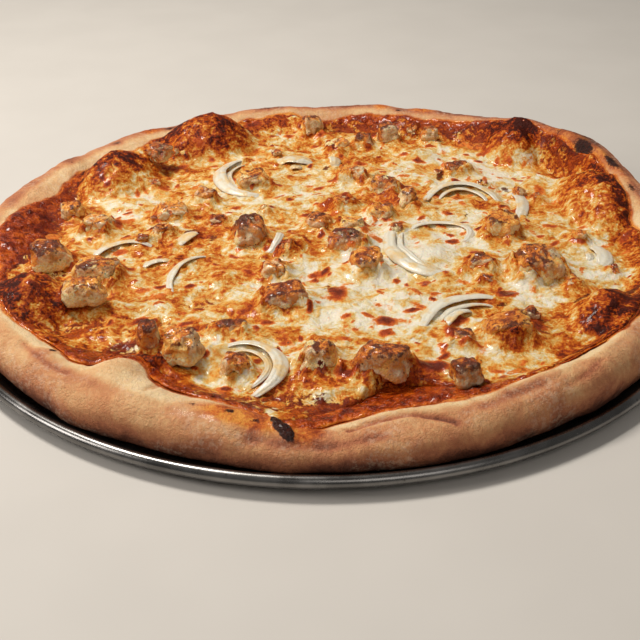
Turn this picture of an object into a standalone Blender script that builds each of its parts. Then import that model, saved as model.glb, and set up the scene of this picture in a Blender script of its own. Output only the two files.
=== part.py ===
"""A barbecue chicken pizza with its thick raised crust, lying in a shallow rolled-rim metal pan.

The pan stands on the floor at z = 0 with its centre at the origin. +X is to the right and -Y towards
the side where the crust is lowest. Dough, sauce and cheese are layers that share one plan of points,
so the gap between two layers is the same everywhere. Chicken and onion lie on the cheese.
"""

import math
import random

import bmesh
import bpy
from mathutils import Matrix, Vector
from mathutils.bvhtree import BVHTree
from mathutils.geometry import delaunay_2d_cdt

MM = 0.001
SEED = 11
SHARP_ANGLE = math.radians(50)

# Pan: a spun disc whose edge sweeps up into a solid rolled bead.
PAN_RADIUS = 203 * MM
PAN_SHEET = 1.2 * MM
PAN_FLAT_RADIUS = 186 * MM
BEAD_RADIUS = 2.8 * MM
BEAD_HEIGHT = 6.4 * MM
PAN_STEPS = 72
BEAD_SIDES = 9

# Layers: the smallest gap between two solids, and how thick each layer is.
GAP = 0.3 * MM
BASE_TOP = 10 * MM
SAUCE_THICK = 1.4 * MM
SAUCE_EDGE_THICK = 0.8 * MM
CHEESE_THICK = 3.6 * MM
CHEESE_EDGE_THICK = 1.3 * MM
CHEESE_WAVE = 0.7 * MM
WAVE_LENGTH = 41 * MM
SAUCE_TAPER = 12 * MM
CHEESE_TAPER = 16 * MM

# Plan of the pizza: radii of the outside, the top of the rim, and the edges of the sauce and cheese.
OUTER_RADIUS = 192.5 * MM
CREST_RADIUS = 182 * MM
CREST_HEIGHT = 22.5 * MM
SAUCE_RADIUS = 172 * MM
CHEESE_RADIUS = 160 * MM
SAUCE_INSET = 3 * MM
CHEESE_INSET = 2.5 * MM
FOOT_WIDTH = 9 * MM
INNER_SLOPE_POWER = 1.6
# The rim's section outside its top: (share of the way out, share of the top's height).
OUTER_SECTION = ((0.5, 0.94), (0.88, 0.75), (1.0, 0.5), (0.9, 0.24), (0.55, 0.07), (0.0, 0.0))
STEPS_AROUND = 96
POINT_SPACING = 12.5 * MM
GOLDEN_ANGLE = math.pi * (3 - math.sqrt(5))

# Changes round the rim: (angle in degrees, half width in degrees, change in mm).
CREST_CHANGES = (
    (32, 25, 13.5),
    (-93, 9, -5),
    (-50, 16, 2.5),
    (-116, 5, 2.5),
    (-150, 12, 1.5),
    (75, 18, 2),
    (150, 14, -1.5),
)
OUTER_CHANGES = ((36, 26, 3), (-90, 50, 1.8), (-78, 7, 1.2), (-140, 16, 1), (88, 10, -2), (178, 14, 2))
SAUCE_CHANGES = (
    (-150, 10, 8),
    (-128, 3.5, 6),
    (-121, 6, -13),
    (-107, 8, -4),
    (-94, 6, 8),
    (-68, 7, 6),
    (-57, 6, 5),
    (-33, 12, 6),
    (36, 30, 7),
    (92, 5, -4),
    (164, 8, -5),
    (182, 10, 6),
)
CHEESE_CHANGES = (
    (-152, 11, 15),
    (-128, 5, -3),
    (-119, 8, -12),
    (-93, 8, 9),
    (-72, 8, -6),
    (-48, 14, 11),
    (-18, 20, 14),
    (26, 30, 20),
    (80, 9, 5),
    (118, 12, 7),
    (148, 14, 6),
    (180, 18, -8),
)

# Dough bubbles under the cheese: (x, y, half length, half width, turn in degrees, height), in mm.
BUBBLES = (
    (-78, 136, 29, 25, 10, 20),
    (-128, 77, 28, 22, 60, 15),
    (-150, -78, 27, 22, 75, 16),
    (127, 123, 24, 20, 70, 21),
    (166, 36, 38, 24, 100, 18),
    (142, -91, 23, 19, 40, 12),
    (-90, -139, 19, 16, 35, 12),
)
DOME_REACH = 1.25
DOME_FULLNESS = 0.65
BUBBLE_CLEARANCE = 0.25
# Extra plan points on each bubble: (share of its half widths, number of points).
BUBBLE_RINGS = ((0.0, 1), (0.45, 7), (0.85, 12), (1.2, 15))
# Lumps of the cheese itself: the same six values.
CHEESE_LUMPS = (
    (-15, -14, 15, 13, 0, 5),
    (-52, -50, 13, 10, 30, 2.5),
    (62, 118, 17, 12, 10, 2.5),
    (57, -25, 13, 12, 0, 3),
    (-115, 40, 18, 12, 10, 2),
)

# Diced chicken: (x, y, width, depth, height, turn in degrees), in mm.
CHICKEN = (
    (-7, 153, 15, 15, 11, 8),
    (10, 121, 15, 14, 8, 20),
    (27, 130, 12, 13, 8, -10),
    (44, 138, 14, 16, 10, 5),
    (71, 138, 12, 13, 7, 10),
    (-42, 66, 18, 15, 8, 25),
    (-69, 45, 14, 13, 7, -20),
    (-87, 24, 17, 14, 7, 15),
    (-126, 6, 17, 14, 7, -15),
    (-145, 27, 13, 15, 8, 30),
    (-102, 93, 14, 17, 8, -10),
    (-89, 1, 13, 11, 6, 10),
    (18, 74, 19, 15, 8, -15),
    (36, 57, 20, 14, 8, -20),
    (12, 37, 15, 12, 5, 30),
    (50, 40, 12, 13, 8, 20),
    (33, 24, 14, 12, 6, -10),
    (84, 85, 17, 12, 6, 25),
    (-3, 10, 14, 14, 7, -20),
    (16, 8, 14, 13, 6, 10),
    (99, 3, 20, 17, 9, -10),
    (-40, -7, 18, 20, 12, 10),
    (-144, -35, 21, 18, 12, 20),
    (-116, -50, 23, 16, 10, -8),
    (-116, -77, 22, 16, 11, 5),
    (-82, -111, 11, 11, 9, 10),
    (-65, -127, 19, 19, 12, -8),
    (-45, -101, 18, 9, 5, 0),
    (-39, -135, 14, 12, 8, 15),
    (-19, -74, 24, 14, 9, 10),
    (-25, -45, 14, 14, 7, 0),
    (13, -14, 21, 15, 9, -10),
    (24, -40, 16, 16, 9, 15),
    (112, -46, 29, 22, 13, 10),
    (82, -40, 15, 14, 6, -15),
    (88, -104, 22, 17, 9, 10),
    (65, -110, 13, 11, 6, 0),
    (27, -135, 25, 19, 13, -20),
    (-2, -129, 20, 16, 10, 12),
    (62, -149, 13, 11, 10, 15),
)
CORNER_JITTER = 0.13
TOP_SHARES = (0.62, 0.92)
SEAT_SHARES = (-1, -0.5, 0, 0.5, 1)
CHUNK_BEVEL = 0.13

# Onion strips, each an arc of an ellipse:
# (centre x, centre y, radius x, radius y, first angle, last angle, width, lean in degrees, lift), in mm.
ONIONS = (
    (-42, 80, 22, 28, 108, 285, 7, 24, 1.0),
    (-17, 88, 17, 16, 48, 138, 12, 8, 0.5),
    (-20, 99, 28, 28, -13, 13, 7, 30, 1.5),
    (82, 37, 22, 27, 5, 162, 8, 22, 1.2),
    (84, 40, 33, 38, -36, 24, 8, 16, 0.4),
    (65, 0, 17, 13, -45, 165, 5.5, 20, 0.6),
    (60, -12, 24, 35, 132, 292, 7, 18, 0.6),
    (-103, -28, 20, 17, 55, 172, 6, 22, 0.8),
    (-42, -30, 42, 42, 126, 160, 8, 14, 0.4),
    (-84, -48, 14, 16, 70, 150, 6, 18, 0.4),
    (-50, -53, 29, 31, 112, 206, 4.5, 26, 1.0),
    (-44, -8, 21, 22, -58, 18, 4, 30, 0.8),
    (-38, -134, 19, 20, -72, 128, 6.5, 24, 1.4),
    (78, -106, 32, 34, 68, 172, 8, 20, 1.0),
    (78, -106, 21, 23, 104, 160, 5.5, 20, 1.0),
    (132, -27, 18, 18, -42, 42, 9, 12, 0.4),
)
ONION_THICK = 1.5 * MM
ONION_CLEARANCE = 0.55 * MM
ONION_STEP = 7 * MM

# Finishes: base colour, roughness, metallic.
FINISHES = {
    "pan_metal": ((0.55, 0.55, 0.54, 1), 0.3, 1.0),
    "baked_dough": ((0.62, 0.36, 0.19, 1), 0.65, 0.0),
    "barbecue_sauce": ((0.24, 0.045, 0.012, 1), 0.25, 0.0),
    "melted_cheese": ((0.82, 0.60, 0.27, 1), 0.4, 0.0),
    "roast_chicken": ((0.52, 0.27, 0.10, 1), 0.45, 0.0),
    "cooked_onion": ((0.84, 0.80, 0.70, 1), 0.3, 0.0),
}


def clear_scene():
    for obj in list(bpy.data.objects):
        bpy.data.objects.remove(obj)


def finish(name):
    """The named Principled BSDF material, made once."""
    found = bpy.data.materials.get(name)
    if found:
        return found
    colour, roughness, metallic = FINISHES[name]
    material = bpy.data.materials.new(name)
    material.use_nodes = True
    shader = material.node_tree.nodes["Principled BSDF"]
    shader.inputs["Base Color"].default_value = colour
    shader.inputs["Roughness"].default_value = roughness
    shader.inputs["Metallic"].default_value = metallic
    return material


def add_object(name, mesh, material, collection):
    mesh.shade_smooth()
    mesh.set_sharp_from_angle(angle=SHARP_ANGLE)
    obj = bpy.data.objects.new(name, mesh)
    obj.data.materials.append(finish(material))
    collection.objects.link(obj)
    return obj


def mesh_from(name, points, faces):
    """A mesh of these points and faces, with its faces turned to point outwards."""
    mesh = bpy.data.meshes.new(name)
    mesh.from_pydata([tuple(p) for p in points], [], faces)
    shape = bmesh.new()
    shape.from_mesh(mesh)
    bmesh.ops.recalc_face_normals(shape, faces=shape.faces)
    shape.to_mesh(mesh)
    shape.free()
    return mesh


def pan_profile():
    """Half of the pan's section as (radius, height): out along the top, over the bead, back underneath."""
    bead_centre = PAN_RADIUS - BEAD_RADIUS
    sweep = bead_centre - BEAD_RADIUS - PAN_FLAT_RADIUS
    rise = BEAD_HEIGHT - PAN_SHEET / 2
    shares = (0.0, 0.3, 0.6, 0.85)
    under = [(PAN_FLAT_RADIUS + s * sweep, rise * s * s) for s in shares]
    top = [(radius - PAN_SHEET * s / 2, height + PAN_SHEET) for (radius, height), s in zip(under, shares)]
    first, last = math.radians(160), math.radians(-150)
    bead = []
    for i in range(BEAD_SIDES):
        angle = first + (last - first) * i / (BEAD_SIDES - 1)
        across, up = BEAD_RADIUS * math.cos(angle), BEAD_RADIUS * math.sin(angle)
        bead.append((bead_centre + across, BEAD_HEIGHT + up))
    return [(0, PAN_SHEET)] + top + bead + under[::-1] + [(0, 0)]


def make_pan(collection):
    profile = pan_profile()
    mesh = bpy.data.meshes.new("pan")
    edges = [(i, i + 1) for i in range(len(profile) - 1)]
    mesh.from_pydata([(radius, 0, height) for radius, height in profile], edges, [])
    pan = add_object("pan", mesh, "pan_metal", collection)
    screw = pan.modifiers.new("spin", "SCREW")
    screw.axis = "Z"
    screw.angle = math.tau
    screw.steps = PAN_STEPS
    screw.render_steps = PAN_STEPS
    screw.use_merge_vertices = True
    screw.merge_threshold = 0.00005
    return pan


def changed(base, changes, angle):
    """base plus the sum of the bell-shaped changes round the rim at this angle, in radians."""
    total = base
    for centre, half_width, change in changes:
        off = math.remainder(angle - math.radians(centre), math.tau) / math.radians(half_width)
        total += change * MM * math.exp(-off * off)
    return total


def ripple(angle, size):
    """A small uneven wave round the rim, the same at -180 and 180 degrees."""
    waves = ((0.5, 5, 0.7), (0.3, 9, 2.1), (0.3, 14, 0.0))
    return size * sum(share * math.sin(turns * angle + start) for share, turns, start in waves)


def outer_radius(angle):
    return changed(OUTER_RADIUS, OUTER_CHANGES, angle) + ripple(angle, 1.2 * MM)


def crest_radius(angle):
    return CREST_RADIUS + 0.6 * (outer_radius(angle) - OUTER_RADIUS)


def crest_height(angle):
    return changed(CREST_HEIGHT, CREST_CHANGES, angle) + ripple(angle + 1, 1.4 * MM)


def sauce_radius(angle):
    return min(
        changed(SAUCE_RADIUS, SAUCE_CHANGES, angle) + ripple(angle + 2, 2 * MM),
        crest_radius(angle) - SAUCE_INSET,
    )


def cheese_radius(angle):
    return min(
        changed(CHEESE_RADIUS, CHEESE_CHANGES, angle) + ripple(3 - angle, 2.4 * MM),
        sauce_radius(angle) - CHEESE_INSET,
    )


def dome_reach(x, y, dome):
    """How far out a point lies on a dome's turned ellipse: 0 at its middle, 1 at its half widths."""
    cx, cy, half_long, half_wide, turn, _ = dome
    dx, dy = x - cx * MM, y - cy * MM
    c, s = math.cos(math.radians(turn)), math.sin(math.radians(turn))
    return math.hypot((dx * c + dy * s) / (half_long * MM), (dy * c - dx * s) / (half_wide * MM))


def domes(x, y, table):
    """Height of the highest dome at a point. Each is a full cosine bell over its ellipse."""
    highest = 0.0
    for dome in table:
        share = min(dome_reach(x, y, dome) / DOME_REACH, 1)
        highest = max(highest, dome[5] * MM * (0.5 + 0.5 * math.cos(math.pi * share)) ** DOME_FULLNESS)
    return highest


def rounded_max(a, b):
    """The larger of two heights, a little more where they are alike, so that they meet in a curve."""
    return (a**4 + b**4) ** 0.25


def dough_height(x, y):
    """Top of the dough inside the crest: a flat base, the rim's inner slope and the bubbles."""
    radius, angle = math.hypot(x, y), math.atan2(y, x)
    foot = cheese_radius(angle) - FOOT_WIDTH
    share = min(max((radius - foot) / (crest_radius(angle) - foot), 0), 1)
    rim = (crest_height(angle) - BASE_TOP) * math.sin(0.5 * math.pi * share) ** INNER_SLOPE_POWER
    return BASE_TOP + rounded_max(rim, domes(x, y, BUBBLES))


def cheese_wave(x, y):
    a, b = x * math.tau / WAVE_LENGTH, y * math.tau / WAVE_LENGTH
    return 0.5 * CHEESE_WAVE * (math.sin(a + 1.3 * math.sin(b)) + math.cos(1.1 * b + math.sin(0.7 * a)))


def polar(radius, angle):
    return Vector((radius * math.cos(angle), radius * math.sin(angle)))


def ring(radius_of):
    """Plan points round the centre at the radius that radius_of gives for each angle."""
    angles = [math.tau * i / STEPS_AROUND for i in range(STEPS_AROUND)]
    return [polar(radius_of(angle), angle) for angle in angles]


def bubble_points():
    """Plan points on rings round the middle of each bubble, so that its dome comes out round."""
    points = []
    for cx, cy, half_long, half_wide, turn, _ in BUBBLES:
        turned = Matrix.Rotation(math.radians(turn), 2)
        for share, count in BUBBLE_RINGS:
            for i in range(count):
                around = polar(share * MM, math.tau * i / count)
                spot = Vector((around.x * half_long, around.y * half_wide))
                points.append(Vector((cx, cy)) * MM + turned @ spot)
    return points


def plan_of_points():
    """Evenly spread plan points inside the cheese's edge, and the triangles between them.

    The ring of the cheese's edge comes first, then a sunflower's spiral of points, which leaves room
    for the bubbles' own rings.
    """
    edge = ring(cheese_radius)
    most = max(p.length for p in edge)
    count = round(math.pi * most**2 / (POINT_SPACING**2 * math.sqrt(3) / 2))
    spiral = [polar(most * math.sqrt((i + 0.5) / count), i * GOLDEN_ANGLE) for i in range(count)]
    clear = BUBBLE_RINGS[-1][0] + BUBBLE_CLEARANCE
    inner = [p for p in spiral if all(dome_reach(p.x, p.y, bubble) > clear for bubble in BUBBLES)]
    inner = [
        p
        for p in inner + bubble_points()
        if p.length < cheese_radius(math.atan2(p.y, p.x)) - 0.5 * POINT_SPACING
    ]
    border = [(i, (i + 1) % STEPS_AROUND) for i in range(STEPS_AROUND)]
    points, _, faces, _, _, _ = delaunay_2d_cdt(edge + inner, border, [], 1, 1e-7)
    return points, [list(face) for face in faces]


def band(first, second):
    """Quads between two rings of points, given by where each ring starts in the list."""
    faces = []
    for i in range(STEPS_AROUND):
        j = (i + 1) % STEPS_AROUND
        faces += [[first + i, second + i, second + j], [first + i, second + j, first + j]]
    return faces


def make_dough(plan, faces, collection):
    """The plan raised to the dough's top, then rings over the rim, down its side and under it."""
    bottom = PAN_SHEET + GAP
    points = [Vector((p.x, p.y, dough_height(p.x, p.y))) for p in plan]
    faces = list(faces)
    rings = [(sauce_radius, None), (lambda a: 0.5 * (sauce_radius(a) + crest_radius(a)), None)]
    rings.append((crest_radius, None))
    for out, up in OUTER_SECTION:
        rings.append((lambda a, out=out: crest_radius(a) + out * (outer_radius(a) - crest_radius(a)), up))
    crest = [dough_height(p.x, p.y) for p in ring(crest_radius)]
    last = 0
    for radius_of, share in rings:
        start = len(points)
        for i, p in enumerate(ring(radius_of)):
            height = dough_height(p.x, p.y) if share is None else bottom + share * (crest[i] - bottom)
            points.append(Vector((p.x, p.y, height)))
        faces += band(last, start)
        last = start
    faces.append([last + i for i in range(STEPS_AROUND)][::-1])
    return add_object("dough", mesh_from("dough", points, faces), "baked_dough", collection)


def make_layer(name, material, plan, faces, extra_ring, floor_of, thick_of, collection):
    """A closed layer: the plan at floor_of, the same plan thick_of higher, and a wall round its edge."""
    flat, faces = list(plan), [list(f) for f in faces]
    edge = 0
    if extra_ring:
        edge = len(flat)
        flat += ring(extra_ring)
        faces += band(0, edge)
    low = [Vector((p.x, p.y, floor_of(p.x, p.y))) for p in flat]
    high = [q + Vector((0, 0, thick_of(q.x, q.y))) for q in low]
    count = len(flat)
    upper = [[count + i for i in face] for face in faces]
    solid = [face[::-1] for face in faces] + upper + band(edge, count + edge)
    return add_object(name, mesh_from(name, low + high, solid), material, collection)


def inside_edge(x, y, radius_of, width):
    """0 at a layer's edge, rising smoothly to 1 at width inside it."""
    radius, angle = math.hypot(x, y), math.atan2(y, x)
    share = min(max((radius_of(angle) - radius) / width, 0), 1)
    return share * share * (3 - 2 * share)


def sauce_floor(x, y):
    return dough_height(x, y) + GAP


def sauce_thickness(x, y):
    return SAUCE_EDGE_THICK + (SAUCE_THICK - SAUCE_EDGE_THICK) * inside_edge(x, y, sauce_radius, SAUCE_TAPER)


def cheese_floor(x, y):
    return sauce_floor(x, y) + sauce_thickness(x, y) + GAP


def cheese_thickness(x, y):
    share = inside_edge(x, y, cheese_radius, CHEESE_TAPER)
    full = CHEESE_THICK + cheese_wave(x, y) + domes(x, y, CHEESE_LUMPS)
    return CHEESE_EDGE_THICK + (full - CHEESE_EDGE_THICK) * share


def height_on(trees, x, y):
    """Height of the highest facet at a point, of the cheese, the sauce or the dough."""
    hits = [tree.ray_cast(Vector((x, y, 1)), Vector((0, 0, -1)))[0] for tree in trees]
    return max(hit.z for hit in hits if hit)


def make_chicken(index, values, trees, rng, collection):
    """An uneven diced piece: a cube with its corners moved and its top drawn in.

    It sits just clear of the highest spot of cheese under it.
    """
    x, y, width, depth, height, turn = values
    shape = bmesh.new()
    bmesh.ops.create_cube(shape, size=1)
    top_share = rng.uniform(*TOP_SHARES)
    for v in shape.verts:
        share = top_share if v.co.z > 0 else 1
        for axis in (0, 1):
            v.co[axis] *= share * (1 + rng.uniform(-CORNER_JITTER, CORNER_JITTER))
        if v.co.z > 0:
            v.co.z *= 1 + 2.5 * rng.uniform(-CORNER_JITTER, CORNER_JITTER)
    sized = Matrix.Diagonal((width * MM, depth * MM, height * MM, 1))
    turned = Matrix.Rotation(math.radians(turn), 4, "Z")
    bmesh.ops.transform(shape, verts=shape.verts, matrix=turned @ sized)
    lowest = min(v.co.z for v in shape.verts)
    reach = 0.5 * (1 + CORNER_JITTER)
    foot = [Vector((width * a, depth * b, 0)) * reach * MM for a in SEAT_SHARES for b in SEAT_SHARES]
    spots = [Vector((x, y, 0)) * MM + turned @ spot for spot in foot]
    seat = max(height_on(trees, spot.x, spot.y) for spot in spots)
    mesh = bpy.data.meshes.new(f"chicken_{index:02d}")
    shape.to_mesh(mesh)
    shape.free()
    piece = add_object(mesh.name, mesh, "roast_chicken", collection)
    piece.location = (x * MM, y * MM, seat + GAP - lowest)
    bevel = piece.modifiers.new("worn_edges", "BEVEL")
    bevel.width = CHUNK_BEVEL * min(width, depth, height) * MM
    bevel.segments = 1
    bevel.limit_method = "NONE"
    return piece


def make_onion(index, values, trees, collection):
    """A strip along an arc, leaning outwards, lying on the cheese with its middle a little raised."""
    cx, cy, rx, ry, first, last, width, lean, lift = values
    first, last = math.radians(first), math.radians(last)
    steps = max(4, round((last - first) * (rx + ry) / 2 * MM / ONION_STEP))
    across = 0.5 * width * MM * math.cos(math.radians(lean))
    up = width * MM * math.sin(math.radians(lean))
    points = []
    for i in range(steps + 1):
        share = i / steps
        angle = first + (last - first) * share
        narrow = 0.55 + 0.45 * math.sin(math.pi * share) ** 0.5
        centre = Vector((cx + rx * math.cos(angle), cy + ry * math.sin(angle))) * MM
        outward = Vector((math.cos(angle) / rx, math.sin(angle) / ry)).normalized()
        inner, outer = centre - outward * across * narrow, centre + outward * across * narrow
        floor = max(height_on(trees, p.x, p.y) for p in (inner, centre, outer))
        height = floor + ONION_CLEARANCE + lift * MM * math.sin(math.pi * share)
        points += [Vector((*inner, height + up * narrow)), Vector((*outer, height))]
    faces = [(2 * i, 2 * i + 1, 2 * i + 3, 2 * i + 2) for i in range(steps)]
    mesh = bpy.data.meshes.new(f"onion_{index:02d}")
    mesh.from_pydata([tuple(p) for p in points], [], faces)
    piece = add_object(mesh.name, mesh, "cooked_onion", collection)
    shell = piece.modifiers.new("thickness", "SOLIDIFY")
    shell.thickness = ONION_THICK
    shell.offset = 1
    return piece


def make_pizza():
    collection = bpy.data.collections.new("pizza")
    bpy.context.scene.collection.children.link(collection)
    make_pan(collection)
    plan, faces = plan_of_points()
    dough = make_dough(plan, faces, collection)
    sauce = make_layer(
        "sauce", "barbecue_sauce", plan, faces, sauce_radius, sauce_floor, sauce_thickness, collection
    )
    cheese = make_layer(
        "cheese", "melted_cheese", plan, faces, None, cheese_floor, cheese_thickness, collection
    )
    bpy.context.view_layer.update()
    graph = bpy.context.evaluated_depsgraph_get()
    trees = [BVHTree.FromObject(layer, graph) for layer in (dough, sauce, cheese)]
    rng = random.Random(SEED)
    for index, values in enumerate(CHICKEN, 1):
        make_chicken(index, values, trees, rng, collection)
    for index, values in enumerate(ONIONS, 1):
        make_onion(index, values, trees, collection)


clear_scene()
make_pizza()
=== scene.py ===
"""The fine surface and the finishes of a barbecue chicken pizza on a round aluminium pan.

Lengths are in millimetres and table angles in degrees, up to the point where a mesh is made. Every
piece is one closed surface worked out from named sizes on whole arrays of points.
"""

import math

import bpy
import numpy as np
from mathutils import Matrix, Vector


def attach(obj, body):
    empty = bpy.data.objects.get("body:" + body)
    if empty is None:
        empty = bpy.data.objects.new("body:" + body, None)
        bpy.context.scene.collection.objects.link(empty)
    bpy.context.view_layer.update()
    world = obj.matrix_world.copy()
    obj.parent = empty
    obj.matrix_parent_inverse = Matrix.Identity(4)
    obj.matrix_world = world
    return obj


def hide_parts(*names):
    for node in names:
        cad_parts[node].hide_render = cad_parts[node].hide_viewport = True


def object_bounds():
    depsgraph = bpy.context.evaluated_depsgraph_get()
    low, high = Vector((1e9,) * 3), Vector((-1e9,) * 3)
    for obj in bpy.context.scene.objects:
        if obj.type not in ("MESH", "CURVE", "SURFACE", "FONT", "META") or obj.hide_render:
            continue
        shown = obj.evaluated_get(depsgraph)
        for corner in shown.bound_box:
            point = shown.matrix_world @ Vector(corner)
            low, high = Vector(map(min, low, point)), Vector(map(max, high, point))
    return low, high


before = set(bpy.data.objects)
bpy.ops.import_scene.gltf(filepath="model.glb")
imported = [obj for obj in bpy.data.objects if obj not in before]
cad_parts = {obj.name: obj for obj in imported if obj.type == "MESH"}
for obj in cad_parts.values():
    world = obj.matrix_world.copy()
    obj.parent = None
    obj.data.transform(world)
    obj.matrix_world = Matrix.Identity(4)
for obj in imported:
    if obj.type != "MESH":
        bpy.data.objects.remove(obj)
CAD_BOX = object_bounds()

SEED = 11
TAU = 2 * math.pi
# Each octave of noise is turned by this, so that its cells don't line up with the last one's.
OCTAVE_TURN = np.array(((0.36, 0.48, -0.8), (-0.8, 0.6, 0), (0.48, 0.64, 0.6)))

# How finely the surfaces are divided.
PAN_AROUND, CRUST_AROUND, SAUCE_AROUND, CHEESE_GRID = 384, 720, 1000, 296
CHICKEN_ROWS, CHICKEN_AROUND, ONION_ROWS, ONION_AROUND = 27, 50, 56, 18

# The pan: a thin round sheet with a shallow sloped edge and a rolled bead.
PAN_RADIUS = 203
PAN_SHEET = 1.2
PAN_FLAT_RADIUS = 186
BEAD_RADIUS = 2.8
BEAD_HEIGHT = 6.4

# The layers' plain sizes, the same as the solids'.
GAP = 0.3
BASE_TOP = 10
SAUCE_THICK, SAUCE_EDGE_THICK, SAUCE_TAPER = 1.4, 0.8, 12
CHEESE_THICK, CHEESE_EDGE_THICK, CHEESE_TAPER = 3.6, 1.3, 16
CHEESE_WAVE, WAVE_LENGTH = 0.7, 41
OUTER_RADIUS, CREST_RADIUS, CREST_HEIGHT = 192.5, 182, 22.5
SAUCE_RADIUS, CHEESE_RADIUS = 172, 160
SAUCE_INSET, CHEESE_INSET = 3, 2.5
FOOT_WIDTH = 9
INNER_SLOPE_POWER = 1.6
DOME_REACH, DOME_FULLNESS = 1.25, 0.65
# The rim's outer side as (share out to the widest, share of the crest's height).
OUTER_SECTION = ((0, 1), (0.5, 0.94), (0.88, 0.75), (1, 0.5), (0.9, 0.24), (0.55, 0.07), (0, 0))

# Changes round the rim: (angle, half width in degrees, change).
CREST_CHANGES = (
    (32, 25, 13.5), (-93, 9, -5), (-50, 16, 2.5), (-116, 5, 2.5), (-150, 12, 1.5), (75, 18, 2),
    (150, 14, -1.5),
)
OUTER_CHANGES = ((36, 26, 3), (-90, 50, 1.8), (-78, 7, 1.2), (-140, 16, 1), (88, 10, -2), (178, 14, 2))
SAUCE_CHANGES = (
    (-150, 10, 8), (-128, 3.5, 6), (-121, 6, -13), (-107, 8, -4), (-94, 6, 8), (-68, 7, 6),
    (-57, 6, 5), (-33, 12, 6), (36, 30, 7), (92, 5, -4), (164, 8, -5), (182, 10, 6),
)
CHEESE_CHANGES = (
    (-152, 11, 15), (-128, 5, -3), (-119, 8, -12), (-93, 8, 9), (-72, 8, -6), (-48, 14, 11),
    (-18, 20, 14), (26, 30, 20), (80, 9, 5), (118, 12, 7), (148, 14, 6), (180, 18, -8),
)
# How far the cheese's thin edge runs on over the sauce, and where the rim is made paler: at -143 degrees
# painted light on the left front, at 137.5 degrees baked less.
RUN_LENGTH = 8
RUN_CHANGES = ((-130, 14, -7), (-77, 13, -17), (82, 8, -5), (62, 5, -4), (176, 17, 3), (-48, 14, 5))
BAKE_AND_LIGHT_CHANGES = ((-143.24, 22.92, -0.2), (137.51, 28.65, -0.1))

# Bubbles of dough under the cheese, and thick lumps of cheese:
# (x, y, half length, half width, turn, height).
BUBBLES = (
    (-78, 136, 29, 25, 10, 20), (-128, 77, 28, 22, 60, 15), (-150, -78, 27, 22, 75, 16),
    (127, 123, 24, 20, 70, 21), (166, 36, 38, 24, 100, 18), (142, -91, 23, 19, 40, 12),
    (-90, -139, 19, 16, 35, 12),
)
CHEESE_LUMPS = (
    (-15, -14, 15, 13, 0, 5), (-52, -50, 13, 10, 30, 2.5), (62, 118, 17, 12, 10, 2.5),
    (57, -25, 13, 12, 0, 3), (-115, 40, 18, 12, 10, 2),
)

# Onion strips: (centre x, centre y, radius x, radius y, first angle, last angle, width, lean, lift).
ONIONS = (
    (-42, 80, 22, 28, 108, 285, 7, 24, 1.0), (-17, 88, 17, 16, 48, 138, 12, 8, 0.5),
    (-20, 99, 28, 28, -13, 13, 7, 30, 1.5), (82, 37, 22, 27, 5, 162, 8, 22, 1.2),
    (84, 40, 33, 38, -36, 24, 8, 16, 0.4), (65, 0, 17, 13, -45, 165, 5.5, 20, 0.6),
    (60, -12, 24, 35, 132, 292, 7, 18, 0.6), (-103, -28, 20, 17, 55, 172, 6, 22, 0.8),
    (-42, -30, 42, 42, 126, 160, 8, 14, 0.4), (-84, -48, 14, 16, 70, 150, 6, 18, 0.4),
    (-50, -53, 29, 31, 112, 206, 4.5, 26, 1.0), (-44, -8, 21, 22, -58, 18, 4, 30, 0.8),
    (-38, -134, 19, 20, -72, 128, 6.5, 24, 1.4), (78, -106, 32, 34, 68, 172, 8, 20, 1.0),
    (78, -106, 21, 23, 104, 160, 5.5, 20, 1.0), (132, -27, 18, 18, -42, 42, 9, 12, 0.4),
)
ONION_THICK = 1.5
# Wide and long strips have a thin strand of the next layer inside them: its width and its distance in
# as shares of theirs, its lift, and the least width and turn of a strip that has one.
STRAND_WIDTH, STRAND_INSET, STRAND_LIFT, TWO_LAYERS_FROM, STRAND_TURN = 0.5, 0.85, 0.3, 6.5, 60
# Small torn bits of chicken: (x, y, size).
CRUMBS = (
    (0, 12, 11), (42, 3, 8), (37, 28, 9), (104, 22, 8), (141, -8, 9), (150, -45, 8), (100, -90, 8),
    (-60, 17, 8), (-103, 66, 8), (-84, -106, 8), (-94, 20, 7), (126, 45, 7), (60, 150, 8), (-30, 112, 7),
    (72, 80, 6), (-20, -22, 9), (30, 58, 7), (-52, -100, 7), (120, -22, 7), (96, 63, 7), (118, 48, 8),
    (84, -54, 8), (128, -58, 9), (-92, 112, 8), (-34, 30, 7), (-100, -8, 8),
)
# How each chicken piece looks: golden, pale with cut faces, dark and seared, or under melted cheese.
STYLES = "gcdggpdgpg" "ddggpggddg" "gdgppdgdgd" "gddggggdcd"
# For each look: how dark the roast is, how much is cut face and how much cheese lies on it.
STYLE_VALUES = {
    "g": (0.33, 0.75, 0.05), "p": (0.18, 1.0, 0.1), "d": (0.52, 0.5, -0.1), "c": (0.3, 0.8, 0.34),
}
# How sharp the edges of the chicken are, and how far round a piece the cheese climbs.
EDGE_POWER = 14
CLIMB_REACH, CLIMB_LIMIT = 2.5, 26

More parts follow.
